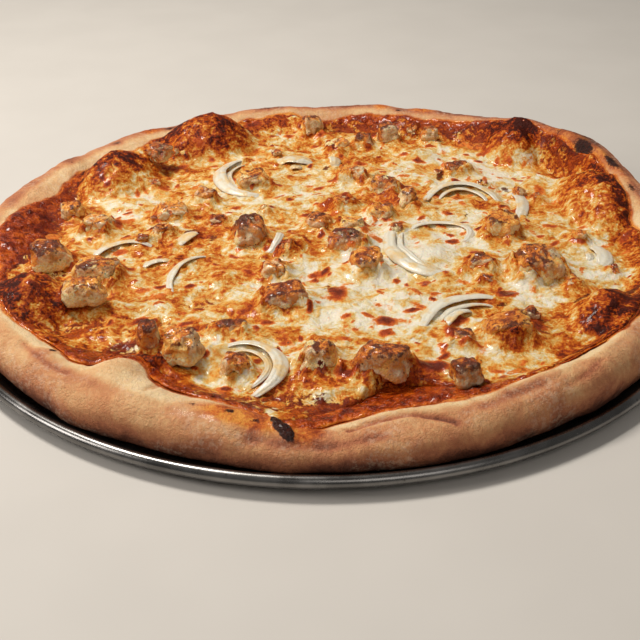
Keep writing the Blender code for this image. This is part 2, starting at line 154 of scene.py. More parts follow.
# Where the cheese is toasted, fresh and pale, thin over the sauce, or burnt:
# (x, y, half length, half width, turn, strength).
TOASTED = (
    (-78, 136, 36, 32, 10, 0.42), (-128, 77, 34, 28, 60, 0.46), (-150, -78, 34, 28, 75, 0.36),
    (127, 123, 32, 27, 70, 0.46), (166, 36, 46, 32, 100, 0.38), (142, -91, 28, 24, 40, 0.45),
    (150, 96, 34, 20, 130, 0.36), (8, -148, 40, 16, -4, 0.34), (-90, -128, 30, 16, 35, 0.35),
    (-150, 12, 22, 60, 10, 0.28), (-105, -100, 30, 14, 10, 0.2), (125, -118, 26, 14, 40, 0.22),
    (-140, 120, 24, 14, 45, 0.25), (20, 160, 60, 10, 0, 0.3), (95, 140, 26, 14, -40, 0.28),
    (-80, -22, 34, 16, 20, 0.2), (-60, 90, 30, 14, 10, 0.14), (-15, -17, 17, 12, 0, 0.5),
    (24, 104, 14, 9, 0, 0.3), (66, 26, 16, 8, -10, 0.4), (-75, 8, 22, 14, 0, 0.2),
    (-62, -45, 26, 14, 20, 0.14), (75, -75, 26, 16, 0, 0.16),
)
FRESH = (
    (52, -20, 15, 16, 0, 1.5), (60, -8, 26, 20, 0, 1.0), (64, 108, 20, 12, 0, 1.0),
    (104, 84, 18, 14, 0, 1.0), (32, -28, 46, 34, 10, 1.0), (90, 88, 42, 34, 0, 0.7),
    (-118, 42, 30, 20, 10, 0.5), (-52, 48, 24, 18, 0, 0.5), (-45, -128, 26, 20, 0, 0.7),
    (30, -82, 44, 20, 5, 0.85), (110, -62, 26, 16, 0, 0.45), (60, 10, 34, 24, 0, 0.8),
    (-10, 60, 22, 18, 0, 0.4), (140, -30, 20, 26, 0, 0.75), (-52, -62, 24, 14, 0, 0.35),
    (62, -122, 24, 12, 0, 0.75), (6, -50, 34, 16, 0, 0.7), (120, 60, 24, 26, 20, 0.5),
)
BARE = (
    (-168, 5, 18, 50, 5, 1.15), (-160, 48, 14, 24, 20, 0.85), (-108, -128, 34, 9, 38, 0.75),
    (-20, -158, 38, 9, 2, 0.55), (-140, -52, 12, 20, 10, 0.5), (30, 158, 44, 7, -6, 0.55),
    (92, 142, 22, 8, -40, 0.5), (-62, -72, 12, 6, 10, 0.4), (14, -140, 18, 7, 0, 0.35),
    (100, -98, 10, 8, 0, 0.45), (-82, -96, 16, 8, 20, 0.4), (-120, -96, 18, 8, 20, 0.5),
    (152, 92, 22, 12, 130, 0.45), (-150, -112, 16, 8, 40, 0.5), (60, 150, 20, 8, -15, 0.45),
)
BURNT = (
    (-78, 138, 13, 9, 10, 0.5), (-112, 72, 4, 3, 0, 0.7), (-122, 80, 2.2, 14, -30, 0.5),
    (114, 132, 5, 9, -20, 0.4), (154, 92, 9, 5, -50, 0.6), (176, 44, 10, 6, 100, 0.6),
    (168, 20, 8, 5, 60, 0.5), (172, 60, 9, 4, 110, 0.8), (146, -90, 12, 9, 40, 0.6),
    (-146, -88, 7, 4, 60, 0.3), (-132, -72, 5, 12, 10, 0.45), (-82, -142, 8, 5, 35, 0.5),
    (-47, 150, 5, 3, 0, 0.7), (160, 92, 8, 5, 30, 0.6), (-96, 128, 7, 5, 20, 0.5),
    (72, 78, 2.4, 5, 0, 0.9), (110, 61, 4, 2, -50, 0.9), (83, 24, 1, 5, -30, 0.9),
    (88, -78, 5, 1.4, 10, 0.8), (97, -86, 3, 2.6, 0, 0.8), (-73, 1, 3, 4, 10, 0.9),
    (-62, -4, 3, 3, 0, 0.7), (5, -60, 4, 5, 20, 0.6), (2, 92, 3, 5, 0, 0.8), (-90, 20, 3, 3, 0, 0.6),
    (150, -66, 10, 4, 10, 0.9), (132, -72, 9, 3, 40, 0.8),
)
# Browned spots: (x, y, half length, half width, turn, strength).
SPOTS = (
    (-51, 36, 3.5, 2.5, 10, 0.5), (-60, 23, 4, 2.5, 30, 0.5), (-22, 145, 4, 3, 0, 0.5),
    (-28, 65, 4, 2.5, 0, 0.6), (30, -92, 6, 4.5, 10, 0.7), (30, -103, 4, 3, 0, 0.5),
    (11, -88, 3, 2, 0, 0.5), (15, -100, 2.5, 2, 0, 0.4), (8, -65, 3, 2, 0, 0.5), (71, -8, 4, 3, 20, 0.6),
    (82, -22, 4, 2.5, 0, 0.55), (90, -66, 5, 3, 0, 0.5), (-27, -93, 4, 3, 0, 0.6),
    (-66, -93, 5, 3, 10, 0.6), (12, 40, 4, 3, 0, 0.6), (49, -132, 9, 5, 4, 0.75),
    (100, -98, 8, 6, 0, 0.55), (-18, -112, 4, 3, 0, 0.45), (52, 62, 4, 2.5, 0, 0.5),
    (112, 30, 6, 3, 20, 0.5), (128, 8, 5, 3, 0, 0.5), (104, 112, 6, 3, 0, 0.45), (24, 100, 5, 3, 0, 0.5),
    (11, 36, 6, 6, 30, 0.65), (51, 60, 4, 5, 0, 0.8), (-60, 19, 6, 5, 0, 0.65), (7, -64, 4, 7, 30, 0.65),
    (92, -67, 6, 4, 10, 0.75), (62, -104, 6, 8, 0, 0.7), (-92, -60, 5, 3, 0, 0.4),
    (-8, 26, 6, 3, 10, 0.6), (-96, 62, 5, 3, 0, 0.4), (-110, -20, 5, 3, 0, 0.45),
    (-4, 128, 5, 3, 0, 0.5),
)
# Random small spots and melted shreds: how many, and how far from the centre they reach.
SPOT_COUNT, SPOT_SPREAD = 1150, 168
SHRED_COUNT, SHRED_SPREAD = 1900, 176

# Cheese that has run over the rim, and burnt spots on it:
# (angle, distance inside the crest, half length round, half width, strength).
RIM_CHEESE = (
    (128.7, -1, 10, 6, 0.9), (77, -3, 7, 9, 0.9), (68, -2, 12, 8, 0.8), (-100, 4, 26, 8, 1.2),
    (-93, 2, 12, 9, 1.1), (36, 2, 60, 6, 0.55), (20, 2, 40, 6, 0.6), (118, 1, 8, 5, 0.5),
    (-155, 7, 14, 3, 0.5), (104, 3, 20, 4, 0.5),
)
RIM_BURNS = (
    (124.7, 1, 2.2, 1.8, 0.8), (129, -1, 2, 1.6, 0.7), (137.5, 1, 1.8, 1.4, 0.6),
    (150.6, 2, 1.6, 1.4, 0.5), (102, 0, 3, 2, 0.6), (35, 2, 4, 2, 0.5), (27, 4, 9, 3.5, 1.0),
    (19, 1, 9, 3, 0.9), (10, 3, 7, 2.5, 0.6), (73, 3, 3, 2, 0.6), (-102.7, 4.5, 2.6, 2.2, 0.8),
    (-108, 5, 3.5, 2, 0.5), (-133.6, 6, 1.9, 1.9, 1.0), (-99, 2, 3, 2, 0.6),
)
# Folds in the dough: (width, depth, points along the fold).
FOLDS = (
    (1.5, 1.7, ((10, -181.5), (17, -178.6), (26, -177.2), (37, -176.3), (45, -177.9), (54, -181))),
    (2.4, 0.8, ((66, -172.5), (70, -170.8), (76, -166), (82, -163), (92, -159))),
    (1.4, 1.2, ((-104, -136), (-100, -128), (-94, -124))),
    (1.3, 1.0, ((-76, -160), (-72, -152), (-76, -144))),
    (1.6, 0.9, ((-136, -122), (-129, -132), (-121, -140), (-112, -146))),
    (1.2, 0.8, ((104, -158), (114, -150), (122, -141))),
    (2.0, 0.9, ((-30, -187), (0, -189), (24, -187))),
)
# Soft mounds of dough on the rim, and a burnt bit: (x, y, half length, half width, turn, height).
MOUNDS = (
    (-91, -145, 15, 11, 40, 2.6), (34, -174, 22, 5, 3, 1.6), (86, -157, 15, 5, 28, 1.6),
    (-124, -133, 12, 7, -45, 1.2), (-12, -183, 22, 6, 0, 0.8), (120, -148, 16, 8, 45, 1.2),
    (-160, 96, 18, 8, 120, 1.2), (30, 184, 24, 6, 0, 1.0), (-120, 146, 20, 8, 40, 1.0),
)
BURNT_BIT = (-17.5, -181, 9.5, 3.6, -58, 2.6)

# The map of melted shreds: half its side, and its cells' size.
MAP_HALF, MAP_CELL = 180, 0.5

# The camera: its place in metres, how far down it looks, its roll, and its lens in millimetres.
CAMERA_PLACE, CAMERA_DOWN, CAMERA_ROLL, CAMERA_LENS = (0, -0.5299, 0.2838), 31.41, 0.36, 59.83
# Lamps: (name, place in metres, size in metres, power in watts, colour).
LAMPS = (
    ("key", (-0.44, 0.34, 1.1), 0.3, 14, (1.0, 0.95, 0.88)),
    ("side", (-0.95, -0.25, 0.6), 0.4, 4.5, (1.0, 0.95, 0.9)),
    ("front", (0.3, -0.9, 0.9), 0.6, 2, (1.0, 0.95, 0.9)),
)
SURROUND_COLOUR, SURROUND_STRENGTH = (1.0, 0.97, 0.93, 1), 0.15


def lattice(cell, seed):
    """A repeatable number from 0 to 1 for each whole-number point, from its mixed bits."""
    factors = (374761393, 668265263, 2246822519)
    n = sum(cell[i].astype(np.uint32) * np.uint32(k) for i, k in enumerate(factors))
    n = n + np.uint32(seed * 40503 + 977)
    n = (n ^ (n >> np.uint32(13))) * np.uint32(1274126177)
    return (n ^ (n >> np.uint32(16))).astype(np.float64) / 4294967295


def noise(points, size, seed, octaves=2):
    """Smooth noise from -1 to 1 in lumps of about size; each octave is half as large and as strong.

    At each point it is the mean of the eight lattice numbers round it, weighted by a smooth step.
    """
    at = np.asarray(points, float) / size
    total, share, weight = 0.0, 1.0, 0.0
    for _ in range(octaves):
        at = at @ OCTAVE_TURN.T + 7.31 * seed
        cell = np.floor(at)
        part = at - cell
        part = part * part * (3 - 2 * part)
        cell = np.moveaxis(cell.astype(np.int64), -1, 0)
        value = 0.0
        for corner in range(8):
            step = [(corner >> axis) & 1 for axis in range(3)]
            near = [part[..., axis] if step[axis] else 1 - part[..., axis] for axis in range(3)]
            number = lattice([cell[axis] + step[axis] for axis in range(3)], seed)
            value = value + near[0] * near[1] * near[2] * number
        total = total + share * (2 * value - 1)
        weight += share
        share *= 0.5
        at = at * 2
    return total / weight


def plane_noise(x, y, size, seed, octaves=2):
    return noise(np.stack([x, y, 0 * x], -1), size, seed, octaves)


def wavy(x, y, far, size, seed, octaves):
    """Points moved by up to far in smooth waves, so that marks on them get uneven outlines."""
    moves = [far * plane_noise(x, y, size, seed + i, octaves) for i in range(2)]
    return x + moves[0], y + moves[1]


def polar(radius, angle):
    return radius * np.cos(angle), radius * np.sin(angle)


def box_round(x, y, centre, half):
    """Which points lie in a square box round a centre."""
    return np.nonzero(np.maximum(np.abs(x - centre[0]), np.abs(y - centre[1])) < half)


def smooth_step(low, high, value):
    """0 below low, 1 above high and a smooth curve between."""
    share = np.clip((value - low) / (high - low), 0, 1)
    return share * share * (3 - 2 * share)


def wrapped(angle):
    return np.remainder(angle + math.pi, TAU) - math.pi


def changed(base, changes, angle):
    """base plus the changes round the rim at this angle, in radians.

    Each is a bell: e to the power of minus the squared distance from its centre in half widths.
    """
    total = base + 0 * angle
    for centre, half_width, change in changes:
        off = wrapped(angle - math.radians(centre)) / math.radians(half_width)
        total = total + change * np.exp(-off * off)
    return total


def ripple(angle, size):
    """Small waves round the rim: the sum of three sines of 5, 9 and 14 turns."""
    waves = ((0.5, 5, 0.7), (0.3, 9, 2.1), (0.3, 14, 0.0))
    return size * sum(share * np.sin(turns * angle + start) for share, turns, start in waves)


def outer_radius(angle):
    return changed(OUTER_RADIUS, OUTER_CHANGES, angle) + ripple(angle, 1.2)


def crest_radius(angle):
    return CREST_RADIUS + 0.6 * (outer_radius(angle) - OUTER_RADIUS)


def crest_height(angle):
    return changed(CREST_HEIGHT, CREST_CHANGES, angle) + ripple(angle + 1, 1.4)


def sauce_radius(angle):
    edge = changed(SAUCE_RADIUS, SAUCE_CHANGES, angle) + ripple(angle + 2, 2)
    return np.minimum(edge, crest_radius(angle) - SAUCE_INSET)


def cheese_radius(angle):
    edge = changed(CHEESE_RADIUS, CHEESE_CHANGES, angle) + ripple(3 - angle, 2.4)
    return np.minimum(edge, sauce_radius(angle) - CHEESE_INSET)


def reach(x, y, ellipse):
    """How far out points lie on a turned ellipse: 0 at its middle, 1 at its half widths."""
    cx, cy, half_long, half_wide, turn = ellipse[:5]
    c, s = math.cos(math.radians(turn)), math.sin(math.radians(turn))
    dx, dy = x - cx, y - cy
    return np.hypot((dx * c + dy * s) / half_long, (dy * c - dx * s) / half_wide)


def domes(x, y, table):
    """Height of the highest dome at each point. Each is a full cosine bell over its ellipse."""
    highest = 0 * x
    for dome in table:
        share = np.minimum(reach(x, y, dome) / DOME_REACH, 1)
        highest = np.maximum(highest, dome[5] * (0.5 + 0.5 * np.cos(math.pi * share)) ** DOME_FULLNESS)
    return highest


def patches(x, y, table, soft=0.45):
    """The strongest patch at each point: its strength inside its ellipse, fading out round its edge."""
    strongest = 0 * x
    for patch in table:
        inside = 1 - smooth_step(1 - soft, 1 + soft, reach(x, y, patch))
        strongest = np.maximum(strongest, patch[5] * inside)
    return strongest


def dough_height(x, y):
    """Top of the dough inside the crest: a flat base, the rim's inner slope and the bubbles.

    The slope is a power of a quarter of a sine. It joins the bubbles smoothly, by the fourth root of the
    sum of their fourth powers.
    """
    radius, angle = np.hypot(x, y), np.arctan2(y, x)
    foot = cheese_radius(angle) - FOOT_WIDTH
    share = np.clip((radius - foot) / (crest_radius(angle) - foot), 0, 1)
    rim = (crest_height(angle) - BASE_TOP) * np.sin(0.5 * math.pi * share) ** INNER_SLOPE_POWER
    return BASE_TOP + (rim**4 + domes(x, y, BUBBLES) ** 4) ** 0.25


def sauce_edge(angle):
    """The sauce's edge with its small uneven fingers."""
    return sauce_radius(angle) + 3 * plane_noise(*polar(150, angle), 10, 21, 3)


def inside_edge(x, y, radius_of, width):
    """0 at a layer's edge, rising smoothly to 1 at width inside it."""
    return smooth_step(0, width, radius_of(np.arctan2(y, x)) - np.hypot(x, y))


def sauce_floor(x, y):
    return dough_height(x, y) + GAP


def sauce_thickness(x, y):
    share = inside_edge(x, y, sauce_radius, SAUCE_TAPER)
    return SAUCE_EDGE_THICK + (SAUCE_THICK - SAUCE_EDGE_THICK) * share


def cheese_floor(x, y):
    return sauce_floor(x, y) + sauce_thickness(x, y) + GAP


def cheese_wave(x, y):
    """Slow waves in the cheese: a sine along x and a cosine along y, each shifted along the other."""
    a, b = x * TAU / WAVE_LENGTH, y * TAU / WAVE_LENGTH
    return 0.5 * CHEESE_WAVE * (np.sin(a + 1.3 * np.sin(b)) + np.cos(1.1 * b + np.sin(0.7 * a)))


def cheese_thickness(x, y):
    full = CHEESE_THICK + cheese_wave(x, y) + domes(x, y, CHEESE_LUMPS)
    share = inside_edge(x, y, cheese_radius, CHEESE_TAPER)
    return CHEESE_EDGE_THICK + (full - CHEESE_EDGE_THICK) * share


def cheese_top(x, y):
    return cheese_floor(x, y) + cheese_thickness(x, y)


def spline(knots, t):
    """Points at shares t along a smooth curve through the knots, each piece a cubic in t."""
    knots = np.asarray(knots, float)
    padded = np.concatenate([2 * knots[:1] - knots[1:2], knots, 2 * knots[-1:] - knots[-2:-1]])
    place = np.clip(np.asarray(t, float), 0, 1) * (len(knots) - 1)
    first = np.minimum(place.astype(int), len(knots) - 2)
    s = (place - first)[:, None]
    a, b, c, d = (padded[first + i] for i in range(4))
    square, cube = 2 * a - 5 * b + 4 * c - d, 3 * b - a - 3 * c + d
    return 0.5 * (2 * b + (c - a) * s + square * s**2 + cube * s**3)


def outward(rings):
    """Unit normals of a grid of closed rings: across the step along the rows and the step round them."""
    normal = np.cross(np.gradient(rings, axis=0), np.roll(rings, -1, 1) - np.roll(rings, 1, 1))
    return normal / np.maximum(np.linalg.norm(normal, axis=-1, keepdims=True), 1e-9)


def ring_faces(rows, around, start):
    """Quads between closed rings of points that are numbered ring by ring."""
    row, column = np.arange(rows - 1)[:, None], np.arange(around)[None, :]
    a = start + row * around + column
    b = start + row * around + (column + 1) % around
    return np.stack([a, a + around, b + around, b], -1).reshape(-1, 4)


def closed_rings(rings, start=0):
    """Points and faces of a grid of rings whose ends are closed by a point at each end's middle."""
    rows, around = rings.shape[:2]
    points = np.concatenate([rings[:1].mean(1), rings.reshape(-1, 3), rings[-1:].mean(1)])
    j = np.arange(around)
    k = (j + 1) % around
    last = start + 1 + (rows - 1) * around
    first_fan = np.stack([start + 0 * j, start + 1 + j, start + 1 + k], -1)
    last_fan = np.stack([last + around + 0 * j, last + k, last + j], -1)
    faces = ring_faces(rows, around, start + 1).tolist() + first_fan.tolist() + last_fan.tolist()
    return points, faces


def with_ends(values):
    """Values for each point of a grid of rings, with its two end points' means added."""
    return np.concatenate([[values[0].mean()], values.ravel(), [values[-1].mean()]])


def add_piece(name, points, faces, finish, nodes, attributes):
    """One smooth-shaded piece from points in millimetres, riding on the body in place of its nodes."""
    mesh = bpy.data.meshes.new(name)
    mesh.from_pydata((np.asarray(points) * 0.001).tolist(), [], faces)
    for key, values in attributes.items():
        layer = mesh.attributes.new(key, "FLOAT", "POINT")
        layer.data.foreach_set("value", np.asarray(values, np.float32))
    mesh.polygons.foreach_set("use_smooth", np.ones(len(mesh.polygons), bool))
    mesh.materials.append(finish)
    piece = bpy.data.objects.new(name, mesh)
    bpy.context.scene.collection.objects.link(piece)
    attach(piece, "root")
    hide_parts(*nodes)


class Pile:
    """Closed grids of rings gathered into one piece, with the marks of all their points."""

    def __init__(self):
        self.points, self.faces, self.marks, self.count = [], [], {}, 0

    def add(self, rings, **marks):
        points, faces = closed_rings(rings, self.count)
        self.points.append(points)
        self.faces += faces
        self.count += len(points)
        for key, values in marks.items():
            self.marks.setdefault(key, []).append(with_ends(values))

    def make(self, name, finish, nodes):
        marks = {key: np.concatenate(values) for key, values in self.marks.items()}
        add_piece(name, np.concatenate(self.points), self.faces, finish, nodes, marks)


def numbered(kind, count):
    return [f"{kind}_{i:02d}" for i in range(1, count + 1)]


class Number:
    """A number inside a material; arithmetic on it adds a Math node."""

    def __init__(self, shader, socket):
        self.shader, self.socket = shader, socket

    def __add__(self, other):
        return self.shader.maths("ADD", self, other)

    def __sub__(self, other):
        return self.shader.maths("SUBTRACT", self, other)

    def __rsub__(self, other):
        return self.shader.maths("SUBTRACT", other, self)

    def __mul__(self, other):
        return self.shader.maths("MULTIPLY", self, other)

    __radd__ = __add__
    __rmul__ = __mul__

    def step(self, low, high):
        """0 below low, 1 above high and a smooth curve between."""
        span = {"From Min": low, "From Max": high}
        settings = {"interpolation_type": "SMOOTHSTEP"}
        made = self.shader.node("MapRange", settings, {"Value": self, **span})
        return Number(self.shader, made.outputs["Result"])

    def limit(self):
        return Number(self.shader, self.shader.node("Clamp", {}, {"Value": self}).outputs[0])


def linear(colour):
    """A colour given as red, green and blue from 0 to 255 on screen, as the shader's values."""
    shares = [c / 255 for c in colour]
    return (*(s / 12.92 if s <= 0.04045 else ((s + 0.055) / 1.055) ** 2.4 for s in shares), 1)


class Shader:
    """One material: its Principled node and the nodes that feed it."""

    def __init__(self, name, **constants):
        self.material = bpy.data.materials.new(name)
        self.material.use_nodes = True
        self.tree = self.material.node_tree
        self.surface = self.tree.nodes["Principled BSDF"]
        for key, value in constants.items():
            self.surface.inputs[key.replace("_", " ")].default_value = value
        self.place = self.node("TexCoord").outputs["Object"]

    def node(self, kind, settings=None, sockets=None):
        made = self.tree.nodes.new("ShaderNode" + kind)
        for key, value in (settings or {}).items():
            setattr(made, key, value)
        for key, value in (sockets or {}).items():
            self.feed(made.inputs[key], value)
        return made

    def feed(self, socket, value):
        value = value.socket if isinstance(value, Number) else value
        if isinstance(value, bpy.types.NodeSocket):
            self.tree.links.new(value, socket)
        else:
            socket.default_value = value

    def maths(self, operation, a, b):
        return Number(self, self.node("Math", {"operation": operation}, {0: a, 1: b}).outputs[0])

    def attribute(self, name):
        return Number(self, self.node("Attribute", {"attribute_name": name}).outputs["Fac"])

    def at(self, stretch):
        """The object's coordinates, divided by a stretch along each axis."""
        if stretch == (1, 1, 1):
            return self.place
        scale = tuple(1 / s for s in stretch)
        return self.node("Mapping", {}, {"Vector": self.place, "Scale": scale}).outputs[0]

    def noise(self, size, detail=3, rough=0.5, warp=0.0, stretch=(1, 1, 1)):
        """Noise spread over 0 to 1, in lumps of about size."""
        sockets = {"Vector": self.at(stretch), "Scale": 1000 / size, "Detail": detail}
        made = self.node("TexNoise", {}, {**sockets, "Roughness": rough, "Distortion": warp})
        return Number(self, made.outputs[0]).step(0.28, 0.72)

    def cells(self, size):
        """Distance to the nearest of scattered points about size apart, as a share of size."""
        sockets = {"Vector": self.place, "Scale": 1000 / size}
        return Number(self, self.node("TexVoronoi", {}, sockets).outputs["Distance"])

    def mix(self, factor, a, b, blend="MIX"):
        a, b = (linear(c) if isinstance(c, tuple) else c for c in (a, b))
        settings = {"data_type": "RGBA", "blend_type": blend, "clamp_factor": True}
        return self.node("Mix", settings, {0: factor, 6: a, 7: b}).outputs[2]

    def ramp(self, value, stops):
        """The colour at a value, from (value, colour) stops."""
        made = self.node("ValToRGB", {}, {0: value})
        ramp = made.color_ramp
        for i, (place, colour) in enumerate(stops):
            stop = ramp.elements[i] if i < 2 else ramp.elements.new(place)
            stop.position = place
            stop.color = linear(colour)
        return made.outputs[0]

    def bump(self, height, distance):
        """Fine relief: height from 0 to 1 stands for this distance in millimetres."""
        sockets = {"Height": height, "Distance": distance * 0.001}
        self.feed(self.surface.inputs["Normal"], self.node("Bump", {}, sockets).outputs[0])

    def finish(self, colour, roughness, coat=None):
        self.feed(self.surface.inputs["Base Color"], colour)
        self.feed(self.surface.inputs["Roughness"], roughness)
        if coat is not None:
            self.feed(self.surface.inputs["Coat Weight"], coat)
        return self.material


def pan_finish():
    """Spun aluminium: fine rings round the centre, rubbed smudges and small dark specks."""
    s = Shader("spun_aluminium", Metallic=1.0)
    smudge = s.noise(38, 4, 0.6, 0.4)
    fine = s.noise(1.1, 3, 0.6, stretch=(1, 1, 0.15))
    specks = 1 - s.cells(5.5).step(0.05, 0.13)
    # Both greys are far darker than bare aluminium: a painted reflection of dark surroundings. The
    # smudges between them are rubbed wear.
    colour = s.mix(smudge, (102, 100, 98), (140, 138, 136))
    colour = s.mix(specks * 0.5, colour, (60, 56, 52))
    s.bump(s.noise(14, 2), 0.02)
    return s.finish(colour, 0.21 + smudge * 0.1 + fine * 0.05)


def crust_finish():
    """Baked dough: pale flour on the lip, tan over the top, brown low down, with burnt spots."""
    s = Shader("crust_look", Subsurface_Weight=0.1, Subsurface_Scale=0.002,
               Subsurface_Radius=(1.0, 0.5, 0.25), Specular_IOR_Level=0.2)
    # The bake value mixes real baking with painted shade in the folds and at the back of the rim, and
    # painted light on the left front.
    bake, burnt, oily = s.attribute("bake"), s.attribute("burnt"), s.attribute("oily")
    blotch, fine = s.noise(13, 5, 0.6, 0.5), s.noise(1.5, 4, 0.65)
    level = bake + (blotch - 0.5) * 0.24 + (fine - 0.5) * 0.1
    colour = s.ramp(level.limit(), (
        (0.0, (236, 206, 160)), (0.2, (224, 180, 130)), (0.42, (208, 146, 100)), (0.62, (182, 114, 80)),
        (0.8, (136, 82, 60)), (1.0, (84, 52, 42)),
    ))
    flour = s.noise(2.4, 5, 0.7).step(0.4, 0.9) * s.noise(26, 3).step(0.3, 0.7)
    colour = s.mix(flour * 0.32, colour, (228, 200, 172))
    # Small dark dots in cells: painted shade inside the crust's pores.
    pore_shade = 1 - s.cells(3.1).step(0.06, 0.2)
    colour = s.mix(pore_shade * 0.2, colour, (96, 58, 40))
    golden = s.ramp(fine * 0.4 + blotch * 0.6, (
        (0.15, (232, 156, 66)), (0.5, (206, 106, 38)), (0.85, (146, 56, 20)),
    ))
    colour = s.mix(oily.step(0.25, 0.8), colour, golden)
    black = (burnt + (fine - 0.5) * 0.3).step(0.32, 0.62)
    colour = s.mix(black, colour, s.mix(fine, (22, 12, 9), (70, 28, 16)))
    s.bump(fine * 0.8 + s.noise(0.8, 3, 0.7) * 0.6 + s.noise(5, 3) * 0.8, 0.35)
    return s.finish(colour, 0.78 - oily * 0.3 - burnt * 0.3, oily * 0.15)


def sauce_finish():
    """Dark barbecue sauce, glossy and lumpy, with orange oil at its thin edge."""
    s = Shader("sauce_look", Coat_Roughness=0.1, Specular_IOR_Level=0.3, IOR=1.36)
    thin = s.attribute("thin")
    lumps, fine = s.noise(6, 4, 0.6, 0.5), s.noise(1.6, 4, 0.6)
    colour = s.ramp((lumps * 0.5 + fine * 0.22 + thin * 0.35).limit(), (
        (0.1, (86, 20, 3)), (0.32, (138, 45, 6)), (0.55, (182, 78, 14)), (0.8, (212, 114, 30)),
        (1.0, (230, 150, 60)),
    ))
    s.bump(s.noise(2.2, 3, 0.5), 0.7)
    return s.finish(colour, 0.15 + fine * 0.1, 0.28)


def cheese_finish():
    """Melted cheese: pale cream, toasted in blotches and spots, with sauce and herb specks."""
    s = Shader("cheese_look", Subsurface_Weight=0.22, Subsurface_Scale=0.0025, Coat_Roughness=0.07,
               Subsurface_Radius=(1.0, 0.55, 0.22), Specular_IOR_Level=0.2, IOR=1.34)
    toast, bare, burnt, browned = (s.attribute(key) for key in ("toast", "bare", "burnt", "browned"))
    blotch, fine, small = s.noise(12, 6, 0.6, 0.9), s.noise(1.4, 4, 0.6), s.noise(3.6, 4, 0.6, 0.8)
    level = toast + (blotch - 0.5) * 0.5 + (small - 0.5) * 0.42 * (toast + 0.3)
    level = level + (fine - 0.5) * 0.4 * (toast + 0.1)
    colour = s.ramp(level.limit(), (
        (0.0, (230, 221, 200)), (0.16, (223, 204, 158)), (0.31, (218, 174, 96)), (0.44, (210, 138, 50)),
        (0.58, (190, 92, 16)), (0.74, (150, 54, 8)), (0.9, (98, 30, 8)), (1.0, (62, 18, 8)),
    ))
    red = s.ramp(fine * 0.4 + blotch * 0.6, (
        (0.15, (72, 15, 3)), (0.5, (112, 33, 5)), (0.9, (174, 76, 18)),
    ))
    showing = (bare + (blotch - 0.5) * 0.35 + (small - 0.5) * 0.5).step(0.4, 0.62)
    colour = s.mix(showing, colour, red)
    spots = browned + (fine - 0.5) * 0.14 + (small - 0.5) * 0.14
    brown = s.ramp(spots.limit(), (
        (0.1, (232, 156, 66)), (0.28, (212, 112, 36)), (0.46, (170, 66, 22)), (0.7, (104, 34, 14)),
    ))
    colour = s.mix(spots.step(0.04, 0.28), colour, brown, "DARKEN")
    black = (burnt + (fine - 0.5) * 0.3 + (small - 0.5) * 0.4).step(0.4, 0.85)
    colour = s.mix(black * 0.92, colour, s.mix(fine, (34, 13, 8), (112, 38, 16)))
    specks = (1 - s.cells(7.5).step(0.045, 0.085)) * s.noise(20, 2).step(0.3, 0.6)
    colour = s.mix(specks * 0.85, colour, (72, 62, 30))
    s.bump(fine * 0.4 * (toast + 0.4) + small * 0.8 + blotch * 0.8, 0.45)
    coat = (0.3 - toast * 0.34 + (blotch - 0.5) * 0.14 + spots * 0.3).limit()
    return s.finish(colour, 0.3 - showing * 0.06 + fine * 0.12 + toast * 0.16, coat)


def chicken_finish():
    """Roast chicken: golden sides, cream cut faces with fibres, searing, melted cheese and pepper."""
    s = Shader("chicken_look", Subsurface_Weight=0.25, Subsurface_Scale=0.003, Coat_Roughness=0.14,
               Subsurface_Radius=(1.0, 0.5, 0.3), Specular_IOR_Level=0.3)
    cut, edge, tone, cheesy = (s.attribute(key) for key in ("cut", "edge", "tone", "cheesy"))
    blotch, fine, fibres = s.noise(3.6, 4, 0.6, 0.5), s.noise(1.1, 4, 0.6), s.attribute("fibre")
    roast = s.ramp((tone * 0.62 + blotch * 0.34 + fine * 0.2 + fibres * 0.26 - 0.18).limit(), (
        (0.12, (252, 212, 132)), (0.32, (244, 170, 70)), (0.5, (216, 120, 34)), (0.7, (150, 64, 18)),
        (0.9, (78, 28, 10)),
    ))
    flesh = s.ramp(fibres * 0.5 + blotch * 0.4 + fine * 0.2 - 0.05, (
        (0.12, (158, 92, 42)), (0.38, (222, 172, 112)), (0.75, (254, 234, 192)),
    ))
    colour = s.mix((cut + (blotch - 0.5) * 0.3 + (fibres - 0.5) * 0.15).step(0.15, 0.8), roast, flesh)
    seared = edge * 0.7 + (blotch - 0.5) * 0.6 + (fine - 0.5) * 0.3 + tone * 0.3 - cut * 0.25
    colour = s.mix(seared.step(0.46, 0.85) * 0.92, colour, s.mix(fine, (44, 18, 8), (124, 54, 20)))
    melted = s.ramp(fine, ((0.2, (240, 198, 118)), (0.7, (248, 230, 176))))
    colour = s.mix((cheesy + (blotch - 0.5) * 0.4).step(0.46, 0.62), colour, melted)
    pepper = (1 - s.cells(3.2).step(0.1, 0.2)) * s.noise(9, 2).step(0.4, 0.7)
    colour = s.mix(pepper * 0.8, colour, (42, 30, 20))
    s.bump(fibres * 0.6 + fine * 0.7 + blotch * 0.6, 0.6)
    return s.finish(colour, 0.34 + fine * 0.14, 0.38)


def onion_finish():
    """Cooked onion: translucent grey-white with fine lines along each strip and browned rims."""
    s = Shader("onion_look", Subsurface_Weight=0.3, Subsurface_Scale=0.003, Coat_Roughness=0.12,
               Subsurface_Radius=(1.0, 0.85, 0.6), Specular_IOR_Level=0.35)
    across, tone, tip = s.attribute("across"), s.attribute("tone"), s.attribute("tip")
    soft, fine = s.noise(7, 3), s.noise(1.3, 3)
    lines = s.maths("SINE", across * 7 + soft * 2, 0) * 0.5 + 0.5
    colour = s.mix(lines * 0.3 + tone * 0.2 + soft * 0.3, (230, 224, 206), (208, 194, 164))
    colour = s.mix((soft + tone * 0.25).step(0.5, 1.1) * 0.7, colour, (230, 184, 108))
    colour = s.mix((tip + (fine - 0.5) * 0.2).step(0.6, 1.0) * 0.6, colour, (190, 116, 50))
    s.bump(lines * 0.5 + fine * 0.4, 0.28)
    return s.finish(colour, 0.3 + fine * 0.12, 0.3)


